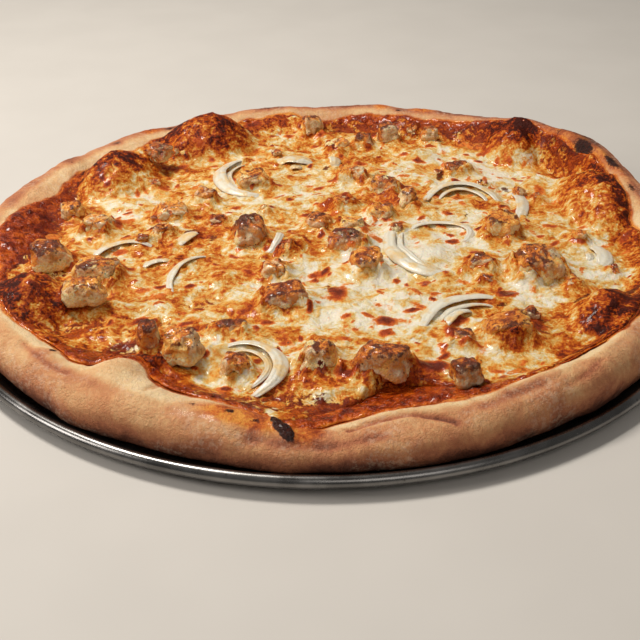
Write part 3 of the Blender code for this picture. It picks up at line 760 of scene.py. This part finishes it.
def make_pan():
    """The pan's profile turned round the centre, with its sloped edge and bead very slightly dented.

    The profile runs out along the top, over the bead and back underneath, as (radius, height). The
    edge rises with the square of the distance out from the flat.
    """
    bead_centre = PAN_RADIUS - BEAD_RADIUS
    sweep = bead_centre - BEAD_RADIUS - PAN_FLAT_RADIUS
    rise = BEAD_HEIGHT - PAN_SHEET / 2
    share = np.linspace(0, 0.85, 9)
    under = np.stack([PAN_FLAT_RADIUS + share * sweep, rise * share**2], -1)
    top = under + np.stack([-PAN_SHEET * share / 2, PAN_SHEET + 0 * share], -1)
    bead = np.stack(polar(BEAD_RADIUS, np.radians(np.linspace(160, -150, 30))), -1)
    flat = np.array([[r, 0] for r in (20, 80, 140, 175, 184)], float)
    over = [flat + (0, PAN_SHEET), top, bead + (bead_centre, BEAD_HEIGHT)]
    profile = np.concatenate([*over, under[::-1], flat[::-1]])
    angle = np.linspace(0, TAU, PAN_AROUND, endpoint=False)
    radius, height = profile[:, :1], profile[:, 1:]
    rings = np.stack([*polar(radius, angle), height + 0 * angle], -1)
    on_edge = smooth_step(PAN_FLAT_RADIUS, bead_centre, radius) * (height > 1.5)
    dents = 0.12 * plane_noise(rings[..., 0], rings[..., 1], 22, 3)
    pile = Pile()
    pile.add(rings + outward(rings) * (dents * on_edge)[..., None])
    pile.make("pizza_pan", pan_finish(), ["pan"])


def rim_marks(angle, inside, table):
    """The strongest mark of a table at each point of the rim, by angle and distance inside the crest.

    Each is a bell: its strength times e to the power of minus the squared distance in half widths.
    """
    strongest = 0 * angle
    for centre, place, half_long, half_wide, strength in table:
        along = wrapped(angle - math.radians(centre)) * CREST_RADIUS
        far = np.hypot(along / half_long, (inside - place) / half_wide)
        strongest = np.maximum(strongest, strength * np.exp(-far * far))
    return strongest


def off_path(points, path):
    """Plan distance from each point to the nearest of many points along a smooth curve."""
    nearest = np.full(points.shape[:2], 1e9)
    for px, py in spline(path, np.linspace(0, 1, 40)):
        nearest = np.minimum(nearest, np.hypot(points[..., 0] - px, points[..., 1] - py))
    return nearest


def make_crust():
    """Rings over the dough's top, down its rounded outer side and underneath.

    Inside the crest a ring's height is that of the base, rim and bubbles. Outside it follows a smooth
    curve through the section's points. Lumps, mounds, folds and the burnt bit move it along its normals.
    """
    angle = np.linspace(0, TAU, CRUST_AROUND, endpoint=False)
    crest, widest, foot = crest_radius(angle), outer_radius(angle), cheese_radius(angle) - 12
    inner = np.linspace(0.03, 1, 40)[:, None] * foot
    slope = foot + (1 - (1 - np.linspace(0, 1, 37)[1:, None]) ** 1.25) * (crest - foot)
    x, y = polar(np.concatenate([inner, slope]), angle)
    top = np.stack([x, y, dough_height(x, y)], -1)
    section = spline(OUTER_SECTION, np.linspace(0, 1, 31)[1:])
    bottom = PAN_SHEET + GAP
    side_height = bottom + section[:, 1:] * (top[-1, :, 2] - bottom)
    side = np.stack([*polar(crest + section[:, :1] * (widest - crest), angle), side_height], -1)
    under = side[-1] * np.array([0.8, 0.5, 0.2])[:, None, None]
    under[..., 2] = bottom
    rings = np.concatenate([top, side, under])
    x, y, z = np.moveaxis(rings, -1, 0)
    radius, around = np.hypot(x, y), np.arctan2(y, x)
    inside = crest - radius
    lifted = smooth_step(2, 7, z) * smooth_step(6, -4, inside - (crest - foot))
    lumps = 1.6 * noise(rings, 30, 1) + 0.7 * noise(rings, 9, 2, 3) + 0.25 * noise(rings, 2.6, 3)
    folds = sum(depth * np.exp(-((off_path(rings, path) / width) ** 2)) for width, depth, path in FOLDS)
    mounds = domes(x, y, MOUNDS)
    cheesy, burns = (rim_marks(around, inside, table) for table in (RIM_CHEESE, RIM_BURNS))
    bit = np.clip(1 - reach(x, y, BURNT_BIT) ** 2, 0, 1) * (z > 12)
    bit_height = bit**0.5 * BURNT_BIT[5] * (0.9 + 0.45 * noise(rings, 2.2, 8))
    moved = lifted * (lumps + mounds - folds + 0.7 * cheesy) + bit_height
    rings = rings + outward(rings) * moved[..., None]
    height = (rings[..., 2] - bottom) / (top[-1, :, 2] - bottom)
    low = smooth_step(0.95, 0.12, height) * (inside < 0)
    bake = 0.4 + 0.46 * low - 0.42 * smooth_step(-1, 6, inside) + 0.26 * noise(rings, 30, 5, 3)
    # 0.3 * folds darkens the dough along each fold: painted shade in the creases.
    bake = bake - 0.14 * smooth_step(0.1, 0.0, height) + 0.3 * folds + 0.1 * mounds
    bake = bake + 0.12 * smooth_step(0.4, 1.0, -np.cos(around - 0.4))
    # The sine term darkens the back half of the rim: painted shade.
    bake = bake + 0.3 * smooth_step(-0.3, 0.8, np.sin(around)) + changed(0, BAKE_AND_LIGHT_CHANGES, around)
    halo = 0.5 * rim_marks(around, inside, [(a, p, 2 * l, 2 * w, s) for a, p, l, w, s in RIM_BURNS])
    soaked = 3.4 + 1.8 * noise(rings, 7, 9)
    oily = smooth_step(-soaked, 0.4, sauce_edge(around) - radius) * (inside > -1)
    burnt = np.maximum(burns, smooth_step(0.05, 0.5, bit) * 1.2)
    pile = Pile()
    pile.add(rings, bake=bake + halo, burnt=burnt, oily=np.maximum(cheesy, oily))
    pile.make("baked_crust", crust_finish(), ["dough"])


def make_sauce():
    """Rings over the sauce's lumpy top to its thin rounded edge, and back underneath to the centre."""
    angle = np.linspace(0, TAU, SAUCE_AROUND, endpoint=False)
    edge = sauce_edge(angle)
    start = cheese_radius(angle) - 16
    inner = np.linspace(0.03, 1, 28)[:, None] * start / edge
    outer = start / edge + np.linspace(0, 1, 40)[1:, None] * (1 - start / edge)
    radius = np.concatenate([inner, outer]) * edge
    x, y = polar(radius, angle)
    at = np.stack([x, y, 0 * x], -1)
    rounding = np.clip((edge - radius) / 3, 0, 1) ** 0.5
    open_ring = smooth_step(-8, 0, radius - cheese_radius(angle))
    lumps = 0.5 * noise(at, 6, 22) + 0.45 * np.abs(noise(at, 3.4, 23, 1)) + 0.7 * noise(at, 3, 24, 1)
    thick = sauce_thickness(x, y) * (0.25 + 0.75 * rounding) + open_ring * rounding * (0.5 + 1.3 * lumps)
    hidden = 1.2 * smooth_step(4, 14, start - radius)
    top = np.stack([x, y, sauce_floor(x, y) + np.maximum(thick, 0.15) - hidden], -1)
    low = top[::-4].copy()
    low[..., 2] = sauce_floor(low[..., 0], low[..., 1]) - 0.6 - hidden[::-4]
    pile = Pile()
    pile.add(np.concatenate([top, low]), thin=np.concatenate([1 - rounding, 0 * low[..., 0]]))
    pile.make("sauce_layer", sauce_finish(), ["sauce"])


def facets_of(node):
    """Outward normals and offsets, in millimetres, of a convex node's faces, and its middle."""
    mesh = node.data
    corners = np.empty(3 * len(mesh.vertices))
    mesh.vertices.foreach_get("co", corners)
    order = np.empty(len(mesh.loops), int)
    mesh.loops.foreach_get("vertex_index", order)
    corners = corners.reshape(-1, 3)[order].reshape(-1, 3, 3) * 1000
    normal = np.cross(corners[:, 1] - corners[:, 0], corners[:, 2] - corners[:, 0])
    size = np.linalg.norm(normal, axis=1)
    real = size > 0.02
    normal = normal[real] / size[real, None]
    offset = np.einsum("ij,ij->i", normal, corners[real, 0])
    spread = corners.reshape(-1, 3)
    return normal, offset, (spread.min(0) + spread.max(0)) / 2


def chunks():
    """Facets of each diced piece of the part."""
    return [facets_of(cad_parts[name]) for name in numbered("chicken", len(STYLES))]


def crumbs():
    """Facets of the small torn bits between the diced pieces: a box's six and eight random ones."""
    rng = np.random.default_rng(SEED + 4)
    table = []
    for x, y, size in CRUMBS:
        normal = np.concatenate([np.eye(3), -np.eye(3), rng.normal(size=(8, 3))])
        normal /= np.linalg.norm(normal, axis=1, keepdims=True)
        middle = np.array([x, y, cheese_top(np.float64(x), np.float64(y)) + 0.12 * size])
        table.append((normal, normal @ middle + 0.5 * size * rng.uniform(0.65, 1.1, 14), middle))
    return table


def make_chicken(table):
    """Each diced piece: how far its rounded facets lie in each direction, roughened by fibres and pits.

    Three more planes cut a corner off each. The distance is a soft minimum over the facets: the sum of
    their distances to the power -EDGE_POWER, to the power -1 / EDGE_POWER. Where it is well under the
    hard minimum there is an edge. Each piece reaches a little further down, into the cheese.
    """
    rng = np.random.default_rng(SEED)
    down = np.linspace(0, math.pi, CHICKEN_ROWS + 2)[1:-1, None]
    turn = np.linspace(0, TAU, CHICKEN_AROUND, endpoint=False)
    way = np.stack([*polar(np.sin(down), turn), np.cos(down) + 0 * turn], -1)
    up = way[..., 2]
    pile = Pile()
    for index, (normal, offset, middle) in enumerate(table):
        far = np.maximum(offset - normal @ middle, 0.3) / np.maximum(way @ normal.T, 1e-4)
        slices = rng.normal(size=(3, 3)) + (0, -0.3, 0.7)
        slices /= np.linalg.norm(slices, axis=1, keepdims=True)
        reached = (way * far.min(-1)[..., None] @ slices.T).reshape(-1, 3).max(0)
        sliced_off = reached * rng.uniform(0.66, 0.92, 3) / np.maximum(way @ slices.T, 1e-4)
        far = np.concatenate([far, sliced_off], -1)
        soft = (far**-EDGE_POWER).sum(-1) ** (-1 / EDGE_POWER)
        edge = np.clip((1 - soft / far.min(-1)) * 14 - 0.15, 0, 1) * smooth_step(-0.2, 0.5, up)
        at = middle + way * soft[..., None]
        grain_turn = rng.uniform(0, math.pi)
        grain = np.array([math.cos(grain_turn), math.sin(grain_turn), 0.2])
        across = np.array([-grain[1], grain[0], 0])
        local = np.stack([at @ grain * 0.35, at @ across, at[..., 2]], -1) + 50 * index
        fibre = noise(local, 2.2, 32, 3)
        pits = np.maximum(noise(at, 3.4, 33) - 0.15, 0) * 4
        size = soft * (1.05 + 0.3 * noise(at, 8, 31)) + 0.1 + 1.2 * fibre - pits
        rings = middle + way * (size + 2.6 * np.clip(-up - 0.1, 0, 1))[..., None]
        face_way = rng.normal(size=3) * (0.9, 0.4, 0.25) + np.array([0.5, -1.0, 0.1])
        face_way /= np.linalg.norm(face_way)
        dark, sliced, covered = STYLE_VALUES[STYLES[index % len(STYLES)]]
        cut = smooth_step(0.3, 0.75, outward(rings) @ face_way) * sliced
        cheesy = 0.1 + covered + 0.5 * noise(at, 9, 34) + 0.45 * smooth_step(0.35, -0.5, up)
        tone = dark + rng.uniform(-0.1, 0.1) + 0.35 * noise(at, 10, 35, 1)
        tone = tone + 0.3 * smooth_step(0.2, 0.9, up)
        pile.add(rings, cut=cut, edge=edge, tone=tone, cheesy=cheesy, fibre=0.5 + 0.8 * fibre)
    pile.make("chicken_dice", chicken_finish(), numbered("chicken", len(STYLES)))


def onion_path(values, count=ONION_ROWS):
    """The middle line of an onion strip, its outward direction, its narrowing and the share along it.

    The width follows a low power of half a sine, so it narrows only near the ends.
    """
    cx, cy, rx, ry, first, last = values[:6]
    share = np.linspace(0, 1, count)
    turn = np.radians(first + (last - first) * share)
    outwards = np.stack([np.cos(turn) / rx, np.sin(turn) / ry], -1)
    outwards /= np.linalg.norm(outwards, axis=1, keepdims=True)
    narrow = 0.2 + 0.8 * np.sin(math.pi * np.clip(share, 0.004, 0.996)) ** 0.45
    return np.stack([cx + rx * np.cos(turn), cy + ry * np.sin(turn)], -1), outwards, narrow, share


def strands():
    """The strips, and inside each wide one a thin strand on a smaller arc round the same middle."""
    inner = []
    for cx, cy, rx, ry, first, last, width, lean, _ in ONIONS:
        if width >= TWO_LAYERS_FROM and last - first > STRAND_TURN:
            inset = STRAND_INSET * width
            arc = (rx - inset, ry - inset, first + 8, last - 14)
            inner.append((cx, cy, *arc, STRAND_WIDTH * width, lean, STRAND_LIFT))
    return [*ONIONS, *inner]


def make_onions():
    """Each strip: a thin section swept along its arc, leaning outwards, its middle a little raised.

    The section is a flattened ring bent like a trough. A strip gets narrower and thinner to its ends,
    and lower there by the fourth power of the distance from its middle.
    """
    rng = np.random.default_rng(SEED + 1)
    turn = np.linspace(0, TAU, ONION_AROUND, endpoint=False)
    flat = np.sign(np.cos(turn)) * np.abs(np.cos(turn)) ** 0.8
    full = np.sign(np.sin(turn)) * np.abs(np.sin(turn)) ** 0.7
    kernel = np.hanning(9) / np.hanning(9).sum()
    pile = Pile()
    for index, values in enumerate(strands()):
        width, lean, lift = values[6], 0.65 * math.radians(values[7]), values[8]
        line, outwards, narrow, share = onion_path(values)
        half = 0.5 * width * narrow
        edges = [line + outwards * (side * half * math.cos(lean))[:, None] for side in (-1, 0, 1)]
        floor = np.max([cheese_top(p[:, 0], p[:, 1]) for p in edges], axis=0)
        floor = np.convolve(np.pad(floor, 4, mode="edge"), kernel, mode="valid")
        wobble = noise(np.stack([share * 40, 0 * share + 9 * index, 0 * share], -1), 7, 41)
        height = floor + 1.3 + 0.6 * half * math.sin(lean) + 0.5 * wobble
        height = height + 0.7 * lift * np.sin(math.pi * share) - 1.6 * np.abs(2 * share - 1) ** 4
        spine = np.concatenate([line, height[:, None]], -1)
        slope = np.concatenate([outwards * math.cos(lean), 0 * height[:, None] - math.sin(lean)], -1)
        along = np.gradient(spine, axis=0)
        up = np.cross(slope, along)
        up *= (np.sign(up[:, 2]) / np.linalg.norm(up, axis=1))[:, None]
        thick = 0.25 * ONION_THICK * (0.3 + 0.7 * np.sin(math.pi * share) ** 0.4)
        side = flat * (1.12 + 0.3 * wobble[:, None])
        bend = 0.09 * width * (1 - side**2) * narrow[:, None]
        rings = spine[:, None] + slope[:, None] * (half[:, None] * side)[..., None]
        rings = rings + up[:, None] * (thick[:, None] * full + bend - 0.35)[..., None]
        if np.cross(along[0], slope[0])[2] > 0:
            rings, side = rings[:, ::-1], side[:, ::-1]
        tip = np.abs(2 * share - 1)[:, None] ** 6
        pile.add(rings, across=side, tone=rng.uniform(0, 1) + 0 * side, tip=tip + 0 * side)
    pile.make("onion_strips", onion_finish(), numbered("onion", len(ONIONS)))


def around_map(target, x, y, size):
    """The part of a map round a point, as its two slices and the offsets of their cells."""
    count = target.shape[0]
    low = [max(int((v - size + MAP_HALF) / MAP_CELL), 0) for v in (y, x)]
    high = [min(int((v + size + MAP_HALF) / MAP_CELL) + 1, count) for v in (y, x)]
    rows, columns = slice(low[0], high[0]), slice(low[1], high[1])
    dy = (np.arange(low[0], high[0]) * MAP_CELL - MAP_HALF - y)[:, None]
    dx = (np.arange(low[1], high[1]) * MAP_CELL - MAP_HALF - x)[None, :]
    return (rows, columns), dx, dy


def shred_maps():
    """Maps of the melted shreds' height and of the tone of the topmost one.

    Each shred is a capsule: its height is the rounded curve of the distance to its middle line.
    """
    rng = np.random.default_rng(SEED + 2)
    count = int(2 * MAP_HALF / MAP_CELL) + 1
    height, tone = np.zeros((count, count)), np.zeros((count, count))
    for _ in range(SHRED_COUNT):
        radius, angle = SHRED_SPREAD * math.sqrt(rng.uniform()), rng.uniform(0, TAU)
        turn = rng.uniform(0, math.pi)
        half_long, half_wide = rng.uniform(3.5, 9), rng.uniform(1.1, 1.8)
        peak, shade = rng.uniform(0.35, 1.1), rng.uniform(-1, 1)
        x, y = radius * math.cos(angle), radius * math.sin(angle)
        here, dx, dy = around_map(height, x, y, half_long + half_wide)
        bend = rng.uniform(-0.06, 0.06)
        u, v = dx * math.cos(turn) + dy * math.sin(turn), dy * math.cos(turn) - dx * math.sin(turn)
        v = v - bend * u * u
        off = np.hypot(np.maximum(np.abs(u) - half_long + half_wide, 0), v) / half_wide
        bulge = peak * np.sqrt(np.clip(1 - off * off, 0, 1))
        above = bulge > height[here]
        tone[here] = np.where(above, shade, tone[here])
        height[here] = np.maximum(height[here], bulge)
    for axis in (0, 1, 0, 1):
        height = 0.5 * height + 0.25 * (np.roll(height, 1, axis) + np.roll(height, -1, axis))
        tone = 0.5 * tone + 0.25 * (np.roll(tone, 1, axis) + np.roll(tone, -1, axis))
    return height, tone


def sample(values, x, y):
    """A map's values at points, by the mean of the four cells round each, weighted by nearness."""
    column, row = (x + MAP_HALF) / MAP_CELL, (y + MAP_HALF) / MAP_CELL
    i, j = (np.clip(cell.astype(int), 0, len(values) - 2) for cell in (row, column))
    s, t = row - i, column - j
    near, far = (values[k, j] * (1 - t) + values[k, j + 1] * t for k in (i, i + 1))
    return near * (1 - s) + far * s


def spot_table():
    """The named browned spots and many small random ones."""
    rng = np.random.default_rng(SEED + 3)
    table = list(SPOTS)
    for _ in range(SPOT_COUNT):
        radius, angle = SPOT_SPREAD * math.sqrt(rng.uniform()), rng.uniform(0, TAU)
        size = rng.uniform(0.7, 2.2) + 1.4 * (rng.uniform() < 0.1)
        spot = (radius * math.cos(angle), radius * math.sin(angle), size * rng.uniform(1, 2.6), size)
        table.append((*spot, rng.uniform(0, 180), 0.14 + 0.6 * rng.uniform() ** 2))
    return table


def browned_spots(x, y):
    """How browned each point is by the strongest spot over it."""
    browned = 0 * x
    sx, sy = wavy(x, y, 0.9, 3, 54, 2)
    for spot in spot_table():
        near = box_round(x, y, spot, 2 * spot[2] + 1)
        mark = spot[5] * (1 - smooth_step(0.35, 1.4, reach(sx[near], sy[near], spot)))
        browned[near] = np.maximum(browned[near], mark)
    return browned


def climbs(x, y, top, blisters, table):
    """How far the cheese climbs up each topping, and how close each point lies to the chicken.

    Off a piece's facets the climb fades as e to the power of minus the distance over CLIMB_REACH.
    Along an onion strip it fades by a smooth step past the strip's edges.
    """
    climb, close = 0 * x, 0 * x
    for normal, offset, middle in table:
        near = box_round(x, y, middle, CLIMB_LIMIT)
        spots = np.stack([x[near], y[near], top[near] + 1.0], -1)
        off = np.maximum((spots @ normal.T - offset).max(-1), 0)
        high = (1.3 + 0.34 * (offset - normal @ middle).max()) * (1 + 0.5 * blisters[near])
        climb[near] = np.maximum(climb[near], high * np.exp(-off / CLIMB_REACH))
        close[near] = np.maximum(close[near], np.exp(-off / 1.6))
    for values in ONIONS:
        line, _, narrow, _ = onion_path(values, 24)
        for place, half in zip(line, 0.5 * values[6] * narrow):
            near = box_round(x, y, place, 9)
            off = np.hypot(x[near] - place[0], y[near] - place[1])
            high = (1.1 + 0.7 * blisters[near]) * smooth_step(half + 3.2, half - 1, off)
            climb[near] = np.maximum(climb[near], high)
    return climb, close


def grid_faces(count, loop, rows):
    """Faces of a square grid, of the rings below its rim and of the fan to the point that ends them.

    The loop numbers the points along the grid's rim.
    """
    start = count * count
    grid = np.arange(start).reshape(count, count)
    quads = np.stack([grid[:-1, :-1], grid[1:, :-1], grid[1:, 1:], grid[:-1, 1:]], -1).reshape(-1, 4)
    k = np.arange(len(loop))
    n = (k + 1) % len(loop)
    wall = np.stack([loop[k], start + k, start + n, loop[n]], -1)
    last = start + (rows - 1) * len(loop)
    fan = np.stack([last + len(loop) + 0 * k, last + n, last + k], -1)
    lower = ring_faces(rows, len(loop), start)
    return [face for part in (quads, wall, lower, fan) for face in part.tolist()]


def make_cheese(table):
    """A square grid pressed into a round one, raised to the cheese's top, and closed underneath.

    A grid point (s, t) goes to (s sqrt(1 - t^2/2), t sqrt(1 - s^2/2)) times the uneven edge radius. Its
    height is the smooth top plus melted shreds, blisters, browned spots and the climb up each topping.
    """
    count = CHEESE_GRID
    line = np.linspace(-1, 1, count)
    s, t = line[:, None] + 0 * line, line + 0 * line[:, None]
    u, v = s * np.sqrt(1 - t * t / 2), t * np.sqrt(1 - s * s / 2)
    angle, share = np.arctan2(v, u), np.hypot(u, v)
    run = changed(RUN_LENGTH, RUN_CHANGES, angle) + 8 * plane_noise(*polar(150, angle), 11, 51, 3)
    edge = np.minimum(cheese_radius(angle) + run, sauce_edge(angle) - 1)
    x, y = polar(share * edge, angle)
    at = np.stack([x, y, 0 * x], -1)
    wx, wy = wavy(x, y, 5, 13, 52, 3)
    bare, fresh, toasted, burnt = (patches(wx, wy, rows) for rows in (BARE, FRESH, TOASTED, BURNT))
    shreds, tone = (sample(values, x, y) for values in shred_maps())
    browned, blisters = browned_spots(x, y), noise(at, 5, 56, 3)
    crown = domes(x, y, BUBBLES) / 20
    melt, to_edge = inside_edge(x, y, cheese_radius, 10), edge - share * edge
    relief = 0.85 * shreds * (1 - 0.6 * fresh) + 0.5 * blisters * (1 - 0.5 * fresh) + 0.7 * browned
    relief = relief + 1.3 * (1 - 1.2 * toasted) * noise(at, 13, 60) - 0.9 * bare - 0.3
    relief = relief + 1.9 * toasted * noise(at, 3, 57) + 9 * crown * (1 - 0.9 * crown)
    floor = cheese_floor(x, y)
    top = floor + cheese_thickness(x, y) * (1 - 0.25 * bare) + relief * (0.35 + 0.65 * melt)
    climb, close = climbs(x, y, top, blisters, table)
    top = top + climb * (1 + 0.25 * blisters)
    rounding = np.clip(to_edge / 2.5, 0, 1) ** 0.5
    top = floor + np.maximum((top - floor) * (0.12 + 0.88 * rounding), 0.12)
    toast = 0.34 + 0.24 * noise(at, 17, 58, 3) + 0.14 * tone + 0.1 * blisters - 0.1 * (shreds - 0.4)
    toast = toast + toasted * (0.5 + 0.7 * crown + 0.3 * noise(at, 6, 61))
    # 0.2 * close darkens the cheese right round the chicken: partly browning, partly painted shade where
    # the pieces meet it.
    toast = toast - 0.28 * fresh + 0.2 * (1 - melt) + 0.2 * close
    bare = bare + 0.35 * (1 - smooth_step(0, 5, to_edge)) + 0.12 * noise(at, 9, 59)
    go, back = np.arange(count - 1), np.arange(count - 1, 0, -1)
    loop = np.concatenate([go * count, (count - 1) * count + go, back * count + count - 1, back])
    surface = np.stack([x, y, top], -1).reshape(-1, 3)
    shares = np.array([1, 0.985, 0.95, 0.8, 0.5, 0.2])[:, None]
    ux, uy = surface[loop, 0] * shares, surface[loop, 1] * shares
    under = np.stack([ux, uy, cheese_floor(ux, uy) - 0.2], -1)
    under[3:, :, 2] = BASE_TOP + 1
    points = np.concatenate([surface, under.reshape(-1, 3), under[-1:].mean(1)])
    unseen = np.full(len(points) - count * count, 0.3)
    marks = {"toast": toast, "bare": bare, "burnt": burnt, "browned": browned}
    marks = {key: np.concatenate([value.ravel(), unseen]) for key, value in marks.items()}
    faces = grid_faces(count, loop, len(under))
    add_piece("melted_cheese", points, faces, cheese_finish(), ["cheese"], marks)


def make_stage():
    """A plain pale floor, a pale surround, one soft lamp from behind and two weaker ones in front."""
    scene = bpy.context.scene
    mesh = bpy.data.meshes.new("floor")
    mesh.from_pydata([(-3, -3, 0), (3, -3, 0), (3, 3, 0), (-3, 3, 0)], [], [(0, 1, 2, 3)])
    s = Shader("pale_floor", Roughness=0.7)
    s.feed(s.surface.inputs["Base Color"], s.mix(s.noise(60, 2), (199, 194, 187), (202, 197, 190)))
    mesh.materials.append(s.material)
    floor = bpy.data.objects.new("floor", mesh)
    scene.collection.objects.link(floor)
    floor.location.z = CAD_BOX[0].z
    world = bpy.data.worlds.new("surround")
    world.use_nodes = True
    background = world.node_tree.nodes["Background"].inputs
    background["Color"].default_value = SURROUND_COLOUR
    background["Strength"].default_value = SURROUND_STRENGTH
    scene.world = world
    for name, place, size, power, colour in LAMPS:
        lamp = bpy.data.lights.new(name, "AREA")
        lamp.size, lamp.energy, lamp.color = size, power, colour
        obj = bpy.data.objects.new(name, lamp)
        obj.location = place
        away = obj.location.copy()
        away.z -= 0.02
        obj.rotation_mode = "QUATERNION"
        obj.rotation_quaternion = away.to_track_quat("Z", "Y")
        scene.collection.objects.link(obj)
    scene.view_settings.view_transform = "Standard"


def make_camera():
    """The viewpoint: in front, 0.6 m from the pan's centre, looking down at 31 degrees."""
    lens = bpy.data.cameras.new("camera")
    lens.sensor_width, lens.lens = 36, CAMERA_LENS
    lens.clip_start, lens.clip_end = 0.01, 20
    camera = bpy.data.objects.new("camera", lens)
    camera.location = CAMERA_PLACE
    camera.rotation_euler = (math.radians(90 - CAMERA_DOWN), math.radians(CAMERA_ROLL), 0)
    bpy.context.scene.collection.objects.link(camera)
    bpy.context.scene.camera = camera


make_camera()
dice = chunks() + crumbs()
make_pan()
make_crust()
make_sauce()
make_cheese(dice)
make_chicken(dice)
make_onions()
make_stage()

bpy.context.view_layer.update()
